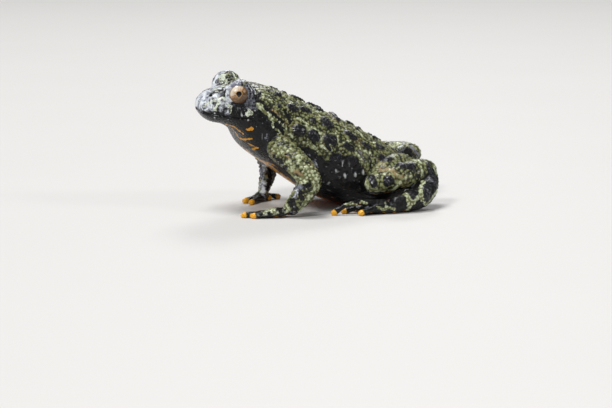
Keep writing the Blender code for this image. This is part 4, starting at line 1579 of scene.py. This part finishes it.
    def lumps(self) -> None:
        """Raises the small lumps: coarse on limbs, sparse on flanks, fine on the back and head."""
        where, flesh = self.where, self.flesh
        arm = where.of("upper", "fore")
        leg = where.of("shank", "thigh", "tarsus")
        trunk = where.share["trunk"]
        flank = trunk * ramp(where.around, 152, 172) * ramp(225 - where.around, -12, 0)
        flank *= ramp(where.place, 6.2, 6.8)
        back = trunk * (1 - ramp(where.around, 172, 186)) * ramp(where.place, 2.6, 4.0)
        paw = where.of("hand", "foot") * ramp(flesh.points[:, 2], 0.4, 0.8)
        cheek = trunk * ramp(where.around, 150, 176) * ramp(6.4 - where.place, 0, 0.6)
        cheek *= ramp(where.place, 1.6, 2.6)
        warty = self.fields[Tint.WART] > 0.35
        loose = flesh.points + 0.5 * self.wander
        limbs = flesh.domes(self.limb_beads, arm + leg > 0.4, loose)
        sides = flesh.domes(self.side_beads, flank > 0.3, loose)
        fine = flesh.domes(self.fine_beads, (back + cheek + paw > 0.3) & ~warty, loose)
        knobs = flesh.domes(self.wart_beads, warty, loose)
        calm = 1 - np.clip(self.fields[Tint.WART] * 2 - 0.2, 0, 1)
        self.height += limbs * (0.28 * arm + 0.17 * leg) * (0.3 + 0.7 * calm)
        grains = 0.14 * back * calm + 0.09 * cheek + 0.05 * paw
        self.height += sides * 0.18 * flank + fine * grains
        self.height += knobs * 0.17 * (1 - calm)
        # The lumps' heights, which the colours follow: painted light on the tops and painted shade
        # between.
        self.lump = limbs * (0.88 * arm + leg) + fine * (back + cheek + paw) + knobs * (1 - calm)
        self.face = trunk * ramp(self.face_end - where.place, -0.4, 0.4)
        # Painted glints: faint bright specks on the tops of the flank's lumps.
        self.fields[Tint.FLECK] = np.maximum(self.fields[Tint.FLECK], sides**2 * flank * 0.60)

    def finish(self) -> None:
        """Applies the relief, sets the underside on the floor, and stores the colour fields."""
        self.flesh.lift(self.height)
        self.flesh.points[:, 2] = np.maximum(self.flesh.points[:, 2], 0)
        self.flesh.write()
        for tint in Tint:
            if tint not in PLAIN:
                self.flesh.store(tint.value, self.fields[tint])
        self.flesh.store("lump", self.lump)
        self.flesh.store("face", self.face)


@dataclass(frozen=True)
class MouthPlan:
    """The mouth line round the front of the head, its lips, and the nostrils above it."""

    middle_x: float = -16.0
    half_angle: float = 98.0
    front: float = 19.8
    corner: float = 19.2
    arc_power: float = 1.5
    steps: int = 60
    groove: float = 0.2
    groove_width: float = 0.16
    lip: float = 0.16
    lip_spread: float = 0.75
    nostril: tuple[float, float] = (-22.1, 2.3)
    nostril_radius: float = 0.26
    nostril_depth: float = 0.3
    rim: float = 0.12
    rim_radius: float = 0.5
    rim_width: float = 0.22
    outside: float = 20.0
    above: float = 40.0

    def line(self, pose: Matrix, tree: BVHTree) -> np.ndarray:
        """The mouth line on the skin, from the right corner to the left one.

        Args:
            pose: the head's turn.
            tree: the skin's faces.

        Returns:
            The places, one in each row.
        """
        places = []
        for step in range(self.steps + 1):
            angle = math.radians(self.half_angle * (2 * step / self.steps - 1))
            share = max(0, math.cos(angle)) ** self.arc_power
            height = self.corner + (self.front - self.corner) * share
            centre = pose @ Vector((self.middle_x, 0, height))
            outward = pose.to_3x3() @ Vector((-math.cos(angle), math.sin(angle), 0))
            places.append(tree.ray_cast(centre + outward * self.outside, -outward)[0])
        return np.array(places)

    def carve(self, flesh: Flesh, pose: Matrix) -> None:
        """Sinks the mouth line and the nostrils and raises the lips.

        Args:
            flesh: the skin.
            pose: the head's turn.
        """
        tree = flesh.tree()
        gap = flesh.to_path(self.line(pose, tree))
        lips = self.lip * ridge(gap, self.lip_spread)
        flesh.lift(lips - (self.groove + self.lip) * ridge(gap, self.groove_width))
        tree = flesh.tree()
        for side in Side:
            above = pose @ Vector((self.nostril[0], self.nostril[1] * side.value, self.above))
            place = tree.ray_cast(above, pose.to_3x3() @ Vector((0, 0, -1)))[0]
            gap = flesh.to_points(np.array([place]))
            rim = self.rim * ridge(gap - self.rim_radius, self.rim_width)
            flesh.lift(rim - self.nostril_depth * ridge(gap, self.nostril_radius))


@dataclass
class LidShaper:
    """Draws the skin round each eyeball into an open pair of lids with folds behind it."""

    eyes: EyePlan
    angles: tuple[float, ...] = (0, 46, 51, 55, 60, 68, 78, 90)
    reaches: tuple[float, ...] = (1.9, 1.9, 2.32, 2.50, 2.62, 2.68, 2.78, 2.9)
    full_until: float = 64.0
    none_from: float = 88.0
    farthest: float = 4.4
    fold_height: float = 0.07
    fold_start: float = 60.0
    fold_pitch: float = 0.42
    fold_fade: tuple[float, float] = (58.0, 66.0)

    def shape(self, flesh: Flesh) -> None:
        """Moves the skin near each eye."""
        for side in Side:
            centre, axis = np.array(self.eyes.centre(side)), np.array(self.eyes.axis(side))
            offset = flesh.points - centre
            reach = np.linalg.norm(offset, axis=1)
            angle = np.degrees(np.arccos(np.clip(offset @ axis / np.maximum(reach, 1e-6), -1, 1)))
            target = np.interp(angle, self.angles, self.reaches)
            folds = self.fold_height * np.sin((angle - self.fold_start) * self.fold_pitch)
            folds *= ramp(angle, *self.fold_fade)
            weight = (1 - ramp(angle, self.full_until, self.none_from)) * (reach < self.farthest)
            moved = reach + (target + folds - reach) * weight
            stretch = (moved / np.maximum(reach, 1e-6))[:, None]
            flesh.points = (centre + offset * stretch).astype(np.float32)
            flesh.write()


# For each colour field: the shares of the coarse and the fine noise that break up its edge, and
# the values from where it begins to where it is full.
EDGES: dict[str, tuple[float, float, float, float]] = {
    "tan": (0.6, 0.9, 0.30, 0.75),
    "pale": (0.6, 0.9, 0.30, 0.60),
    "green": (0.85, 1.0, 0.42, 0.56),
    "grey": (0.9, 0.9, 0.34, 0.66),
    "silver": (0.5, 0.5, 0.28, 0.66),
    "orange": (0.9, 0.5, 0.44, 0.56),
    "wart": (0.35, 0.5, 0.44, 0.54),
    "fleck": (0.3, 0.5, 0.32, 0.55),
    "fleck_core": (0.3, 0.5, 0.50, 0.90),
    "tip": (0.3, 0.5, 0.34, 0.62),
}


class SkinBoard(Board):
    """The nodes of the skin, with the noises and the stored fields that its colours share."""

    def __init__(self, name: str) -> None:
        """Starts a material with its noises and fields."""
        super().__init__(name)
        self.spot = self.place()
        self.blotch = self.less(self.noise(self.spot, 0.75, 5, 0.62), 0.5)
        self.mottle = self.less(self.noise(self.spot, 2.1, 4, 0.65), 0.5)
        self.fine = self.noise(self.spot, 5.5, 3, 0.6)
        self.tone = self.noise(self.spot, 0.32, 2)
        self.grain = self.add(self.mottle, self.blotch)
        tints = [tint.value for tint in Tint if tint not in PLAIN]
        self.field = {kept: self.attribute(kept) for kept in (*tints, "lump", "face")}

    def edge(self, name: str, step: str) -> bpy.types.NodeSocket:
        """How much of a field shows at each place.

        Args:
            name: the field.
            step: the row of the table of edges.

        Returns:
            The share's socket.
        """
        coarse, fine, low, high = EDGES[step]
        value = self.add(self.field[name], self.times(self.blotch, coarse))
        value = self.add(value, self.times(self.mottle, fine))
        return self.step(value, low, high)

    def layer(self, name: str, under: object, paint: object) -> bpy.types.NodeSocket:
        """A colour laid over another where a field shows.

        Args:
            name: the field.
            under: the colour below.
            paint: the colour on top.

        Returns:
            The colour's socket.
        """
        return self.mix(self.edge(name, name), under, paint)


@dataclass(frozen=True)
class SkinFinish:
    """Moist toad skin: black ground, olive back, grey snout, orange below, glossy warts, with
    painted highlights and shade.
    """

    black: Point = (0.005, 0.005, 0.006)
    # Painted shade in the hollows between the lumps.
    hollow_shade: Point = (0.020, 0.022, 0.012)
    olive: Point = (0.150, 0.158, 0.064)
    sage: Point = (0.29, 0.31, 0.145)
    mint: Point = (0.53, 0.58, 0.37)
    tan: Point = (0.36, 0.25, 0.12)
    slate: Point = (0.085, 0.088, 0.108)
    lavender: Point = (0.24, 0.25, 0.30)
    haze: Point = (0.19, 0.20, 0.26)
    # Pale silvery grey, partly painted highlight.
    silver: Point = (0.77, 0.81, 0.85)
    # The dim rim and bright core of the specks, which are mostly painted glints.
    fleck_edge: Point = (0.10, 0.105, 0.11)
    fleck: Point = (0.66, 0.69, 0.68)
    # Whitish mint of the face's pale marks, and painted highlight on the tops of the limbs' lumps.
    whitish_mint_and_highlight: Point = (0.72, 0.78, 0.64)
    wart: Point = (0.0085, 0.0085, 0.011)
    # Painted highlights on the warts' small beads.
    wart_highlight: Point = (0.21, 0.21, 0.245)
    orange: Point = (0.66, 0.29, 0.015)
    belly_red: Point = (0.60, 0.11, 0.012)
    tip: Point = (0.86, 0.42, 0.03)
    roughness: float = 0.30
    roughness_range: float = 0.24
    specular: float = 0.16
    coat: float = 0.28
    coat_roughness: float = 0.06
    bead_depth: float = 0.10
    grain_depth: float = 0.12
    pore_depth: float = 0.05

    def back(self, board: SkinBoard) -> bpy.types.NodeSocket:
        """The olive of the back and limbs: painted shade between the lumps, painted light on their
        tops, and pale green in places.
        """
        lump = board.add(board.field["lump"], board.times(board.mottle, 0.9))
        # Painted shade in the hollows between the lumps, and painted light, in lighter sage, on
        # their tops.
        ground = board.mix(board.step(lump, 0.04, 0.36), self.hollow_shade, self.olive)
        ground = board.mix(board.step(lump, 0.35, 0.85), ground, self.sage)
        ground = board.mix(board.times(board.step(board.tone, 0.54, 0.70), 0.2), ground, self.tan)
        ground = board.layer("tan", ground, self.tan)
        # Pale marks: painted shade in their hollows and painted highlight on their lumps' tops.
        mint = board.mix(board.step(lump, 0.05, 0.6), self.olive, self.mint)
        mint = board.mix(board.step(lump, 0.80, 1.15), mint, self.whitish_mint_and_highlight)
        frost = board.add(0.35, board.times(board.step(board.grain, -0.16, 0.04), 0.65))
        mint = board.mix(board.times(board.field["face"], frost), mint, self.whitish_mint_and_highlight)
        return board.layer("pale", ground, mint)

    def snout(self, board: SkinBoard) -> bpy.types.NodeSocket:
        """The pale silvery grey of the snout, partly painted highlight, with its blue haze."""
        patch = board.add(board.times(board.mottle, 0.5), board.times(board.blotch, 1.3))
        return board.mix(board.step(patch, -0.16, 0.10), self.haze, self.silver)

    def beaded(self, board: SkinBoard) -> bpy.types.NodeSocket:
        """The black of the warts, with painted highlights on the tops of their beads."""
        noises = board.add(board.fine, board.mottle)
        bead = board.add(board.times(board.field["lump"], 0.25), noises)
        return board.mix(board.step(bead, 0.74, 1.06), self.wart, self.wart_highlight)

    def wet(self, board: SkinBoard) -> None:
        """Sets the gloss, the moist coat and the finest relief."""
        coarse = board.step(board.field["silver"], 0.45, 0.75)
        coarse = board.less(1.0, board.times(coarse, 0.7))
        rough = board.times(coarse, board.times(board.fine, self.roughness_range))
        board.feed("Roughness", board.add(rough, self.roughness - self.roughness_range / 2))
        board.feed("Specular IOR Level", self.specular)
        board.feed("Coat Weight", self.coat)
        board.feed("Coat Roughness", self.coat_roughness)
        beads = board.times(board.cells(board.spot, 2.6), coarse)
        grains = board.times(board.noise(board.spot, 3.4, 2), coarse)
        relief = board.bump(grains, self.grain_depth, board.bump(beads, self.bead_depth))
        board.feed("Normal", board.bump(board.fine, self.pore_depth, relief))

    def build(self) -> bpy.types.Material:
        """Makes the material."""
        board = SkinBoard("toad_skin")
        grey = board.mix(board.step(board.grain, -0.14, 0.16), self.slate, self.lavender)
        # The specks, mostly painted glints: dim at the rim and bright at the core.
        fleck = board.mix(board.edge("fleck", "fleck_core"), self.fleck_edge, self.fleck)
        layers = {
            "green": self.back(board),
            "grey": grey,
            "silver": self.snout(board),
            "orange": board.mix(board.field["red"], self.orange, self.belly_red),
            "wart": self.beaded(board),
            "fleck": fleck,
            "tip": self.tip,
        }
        colour = self.black
        for name, paint in layers.items():
            colour = board.layer(name, colour, paint)
        board.feed("Base Color", colour)
        self.wet(board)
        return board.material


@dataclass
class ToadSkin:
    """The one skin over the whole body, with its relief and its colours."""

    plan: BodyPlan
    eyes: EyePlan
    arms: dict[Side, ArmPlan]
    legs: dict[Side, LegPlan]
    digits: DigitPlan
    view: PhotoView
    mouth: MouthPlan = MouthPlan()
    marks: PhotoMarks = PhotoMarks()
    finish: SkinFinish = SkinFinish()
    voxel: float = 0.27
    smoothing: int = 4
    softness: float = 0.5
    head_end: float = -14.0
    chin_height: float = 15.0
    hand_height: float = 2.0
    chest_end: float = -10.0
    facing_down: float = -0.5
    thinned: float = 0.84

    def shell(self) -> bpy.types.Object:
        """Joins the rough forms and makes one closed skin over them."""
        forms = [self.plan.form(), *self.eyes.forms()]
        for side in Side:
            forms += self.arms[side].forms(self.digits)
            forms += self.legs[side].forms(self.digits)
        Modeller.pick(*forms)
        bpy.ops.object.join()
        skin = bpy.context.object
        skin.name = "toad_skin"
        Modeller.modify(skin, "REMESH", mode="VOXEL", voxel_size=self.voxel, adaptivity=0)
        Modeller.modify(skin, "SMOOTH", factor=self.softness, iterations=self.smoothing)
        Modeller.pick(skin)
        Modeller.edit(bpy.ops.mesh.separate, type="LOOSE")
        shells = sorted(bpy.context.selected_objects, key=lambda shell: len(shell.data.vertices))
        for inner in shells[:-1]:
            bpy.data.objects.remove(inner)
        shells[-1].name = "toad_skin"
        return shells[-1]

    def thin(self, skin: bpy.types.Object) -> None:
        """Thins the faces of the belly, the soles and the undersides, which carry no fine marks."""
        under = []
        for vertex in skin.data.vertices:
            x, _, z = vertex.co
            if vertex.normal.z < self.facing_down and (x > self.chest_end or z < self.hand_height):
                under.append(vertex.index)
        skin.vertex_groups.new(name="underside").add(under, 1.0, "REPLACE")
        kept = 1 - self.thinned * len(under) / len(skin.data.vertices)
        Modeller.modify(skin, "DECIMATE", ratio=kept, vertex_group="underside")
        skin.vertex_groups.clear()

    def refine(self, skin: bpy.types.Object) -> None:
        """Divides the faces of the head, the hands and the feet once more, but not the soles."""
        Modeller.pick(skin)
        bpy.ops.object.mode_set(mode="EDIT")
        bpy.ops.mesh.select_all(action="DESELECT")
        bpy.ops.object.mode_set(mode="OBJECT")
        for face in skin.data.polygons:
            x, _, z = face.center
            paw = z < self.hand_height and face.normal.z > self.facing_down
            face.select = (x < self.head_end and z > self.chin_height) or paw
        bpy.ops.object.mode_set(mode="EDIT")
        bpy.ops.mesh.subdivide(number_cuts=1)
        bpy.ops.mesh.vertices_smooth(factor=self.softness, repeat=2)
        bpy.ops.object.mode_set(mode="OBJECT")

    def build(self, shift: Vector) -> bpy.types.Object:
        """Makes the skin and puts it in place over the flesh nodes.

        Args:
            shift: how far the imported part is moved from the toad's own frame, in millimetres.

        Returns:
            The finished skin.
        """
        skin = self.shell()
        self.thin(skin)
        self.refine(skin)
        flesh = Flesh(skin)
        LidShaper(self.eyes).shape(flesh)
        self.mouth.carve(flesh, self.plan.head_pose())
        self.paint(flesh)
        skin.data.materials.clear()
        skin.data.materials.append(self.finish.build())
        skin.data.transform(Matrix.Scale(MM, 4) @ Matrix.Translation(shift))
        Modeller.pick(skin)
        bpy.ops.object.shade_smooth()
        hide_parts(*[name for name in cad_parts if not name.endswith("_eye")])
        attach(skin, "root")
        return skin

    def paint(self, flesh: Flesh) -> None:
        """Raises and colours the skin by its regions and marks."""
        where = BodyMap(flesh, self.plan, self.legs, self.arms, self.digits)
        painter = Painter(flesh, where, self.view, self.legs)
        painter.base()
        for side in Side:
            painter.tips(self.arms[side].tips(self.digits))
            painter.tips(self.legs[side].tips(self.digits))
        seen = self.marks
        for marks in (seen.ground, seen.back, seen.flank, seen.head, seen.throat):
            painter.mark(marks)
        for marks in (seen.far_eye, seen.far_arm, seen.far_leg, seen.arm):
            painter.mark(marks, twins=False)
        painter.mark(seen.leg, on_leg=True)
        painter.fill_back()
        painter.lumps()
        painter.finish()


@dataclass(frozen=True)
class IrisFinish:
    """A copper iris, creamy and partly painted highlight above and in front, brown below, with a
    dark pupil and a wet coat.
    """

    copper: Point = (0.30, 0.13, 0.045)
    gold: Point = (0.62, 0.38, 0.15)
    # Creamy gold of the iris, partly a painted highlight of the lamps.
    cream_and_highlight: Point = (0.80, 0.72, 0.60)
    brown: Point = (0.060, 0.030, 0.016)
    pupil: Point = (0.003, 0.003, 0.004)
    roughness: float = 0.25
    specular: float = 0.25
    coat: float = 0.7
    coat_roughness: float = 0.03
    fibre_depth: float = 0.03

    def build(self) -> bpy.types.Material:
        """Makes the material."""
        board = Board("toad_eye")
        radial = board.attribute("radial")
        spoke = board.attribute("spoke", "Vector")
        rise = board.attribute("rise")
        fibre = board.noise(spoke, 7.0, 4, 0.7)
        cloud = board.noise(spoke, 2.6, 3, 0.6)
        speck = board.noise(board.place(), 3.6, 3, 0.6)
        iris = board.mix(board.step(fibre, 0.40, 0.66), self.copper, self.gold)
        # Lighter towards the upper front: partly the iris's own pale gold, partly a painted
        # highlight.
        pale = board.add(rise, board.times(cloud, 0.9))
        iris = board.mix(board.times(board.step(pale, 0.52, 1.00), 0.85), iris, self.cream_and_highlight)
        low = board.add(board.times(rise, -0.7), board.times(speck, 1.3))
        iris = board.mix(board.times(board.step(low, 0.50, 0.84), 0.85), iris, self.brown)
        iris = board.mix(board.times(board.step(radial, 0.64, 0.78), 0.85), iris, self.brown)
        pupil = board.attribute("pupil")
        halo = board.times(board.step(pupil, -0.09, -0.03), 0.7)
        iris = board.mix(halo, iris, self.gold)
        iris = board.mix(board.step(pupil, -0.02, 0.015), iris, self.pupil)
        board.feed("Base Color", iris)
        board.feed("Roughness", self.roughness)
        board.feed("Specular IOR Level", self.specular)
        board.feed("Coat Weight", self.coat)
        board.feed("Coat Roughness", self.coat_roughness)
        board.feed("Normal", board.bump(fibre, self.fibre_depth))
        return board.material


@dataclass
class Eyeball:
    """One eyeball, with its pole on the axis it looks along."""

    eyes: EyePlan
    side: Side
    finish: IrisFinish = IrisFinish()
    pupil_width: float = 0.235
    pupil_rise: float = 0.25
    pupil_drop: float = 0.28
    pupil_up: float = 0.03
    # How the iris's painted highlight leans across and up.
    highlight_side: tuple[float, float] = (0.6, 0.8)
    segments: int = 96
    rings: int = 64

    def pupil(self, x: np.ndarray, y: np.ndarray) -> np.ndarray:
        """How far inside the drop-shaped pupil each place is.

        Args:
            x: how far it is across the iris.
            y: how far it is up the iris.

        Returns:
            The distances in radii of the eyeball, below 0 outside the pupil.
        """
        tall = y - self.pupil_up
        height = np.where(tall > 0, tall / self.pupil_rise, tall / self.pupil_drop)
        dome, drop = np.clip(1 - height**2, 0, 1) ** 0.4, np.clip(1 + height, 0, 1) ** 0.75
        inside = self.pupil_width * np.where(tall > 0, dome, drop) - np.abs(x)
        outside = -np.hypot(np.abs(x), (np.abs(height) - 1) * self.pupil_rise)
        return np.where(np.abs(height) < 1, inside, outside)

    def store(self, flesh: Flesh) -> None:
        """Keeps the values that the iris is coloured by."""
        x, y = flesh.points[:, 0].astype(float), flesh.points[:, 1].astype(float)
        front = flesh.points[:, 2] > 0
        radial = np.where(front, np.hypot(x, y), 2 - np.hypot(x, y))
        flesh.store("pupil", np.where(front, self.pupil(x, y), -1))
        flesh.store("radial", radial)
        # How far towards the upper front each place is: the iris takes its painted highlight there
        # and grows browner below.
        across, up = self.highlight_side
        flesh.store("rise", across * self.side.value * x + up * y)
        reach = np.maximum(np.hypot(x, y), 1e-4)
        way = np.stack([x / reach, y / reach, radial * 0.25], axis=1)
        spoke = flesh.obj.data.attributes.new("spoke", "FLOAT_VECTOR", "POINT")
        spoke.data.foreach_set("vector", way.astype(np.float32).ravel())

    def build(self, shift: Vector) -> bpy.types.Object:
        """Makes the eyeball and puts it in place.

        Args:
            shift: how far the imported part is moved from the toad's own frame, in millimetres.

        Returns:
            The finished eyeball.
        """
        name = f"{self.side.name.lower()}_eyeball"
        ball = Modeller.ball(name, (0, 0, 0), (1, 1, 1), self.segments, self.rings)
        self.store(Flesh(ball))
        look = self.eyes.axis(self.side)
        up = (self.eyes.plan.head_pose().to_3x3() @ Vector((0, 0, 1))).normalized()
        across = up.cross(look).normalized()
        turn = Matrix((across, look.cross(across), look)).transposed().to_4x4()
        place = Matrix.Translation(self.eyes.centre(self.side) + shift)
        ball.data.transform(Matrix.Scale(MM, 4) @ place @ turn @ Matrix.Scale(self.eyes.radius, 4))
        ball.data.materials.append(self.finish.build())
        Modeller.pick(ball)
        bpy.ops.object.shade_smooth()
        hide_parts(f"{self.side.name.lower()}_eye")
        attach(ball, "root")
        return ball


def main() -> None:
    """Builds the view, the studio, the skin and the eyes, and reports each."""
    logging.basicConfig(level=logging.INFO, format="%(message)s")
    plan = BodyPlan()
    eyes = EyePlan(plan)
    low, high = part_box("left_eye")
    shift = (low + high) / 2 / MM - eyes.centre(Side.LEFT)
    LOG.info("the packed part is shifted by %.3f, %.3f, %.3f mm", *shift)
    view = PhotoView()
    view.build(shift)
    Studio().build()
    arms = {Side.LEFT: LEFT_ARM, Side.RIGHT: RIGHT_ARM}
    legs = {side: LegPlan(side) for side in Side}
    skin = ToadSkin(plan, eyes, arms, legs, DigitPlan(), view).build(shift)
    pieces = [skin, *[Eyeball(eyes, side).build(shift) for side in Side]]
    for piece in pieces:
        LOG.info("%s: %d faces", piece.name, len(piece.data.polygons))


if __name__ == "__main__":
    main()
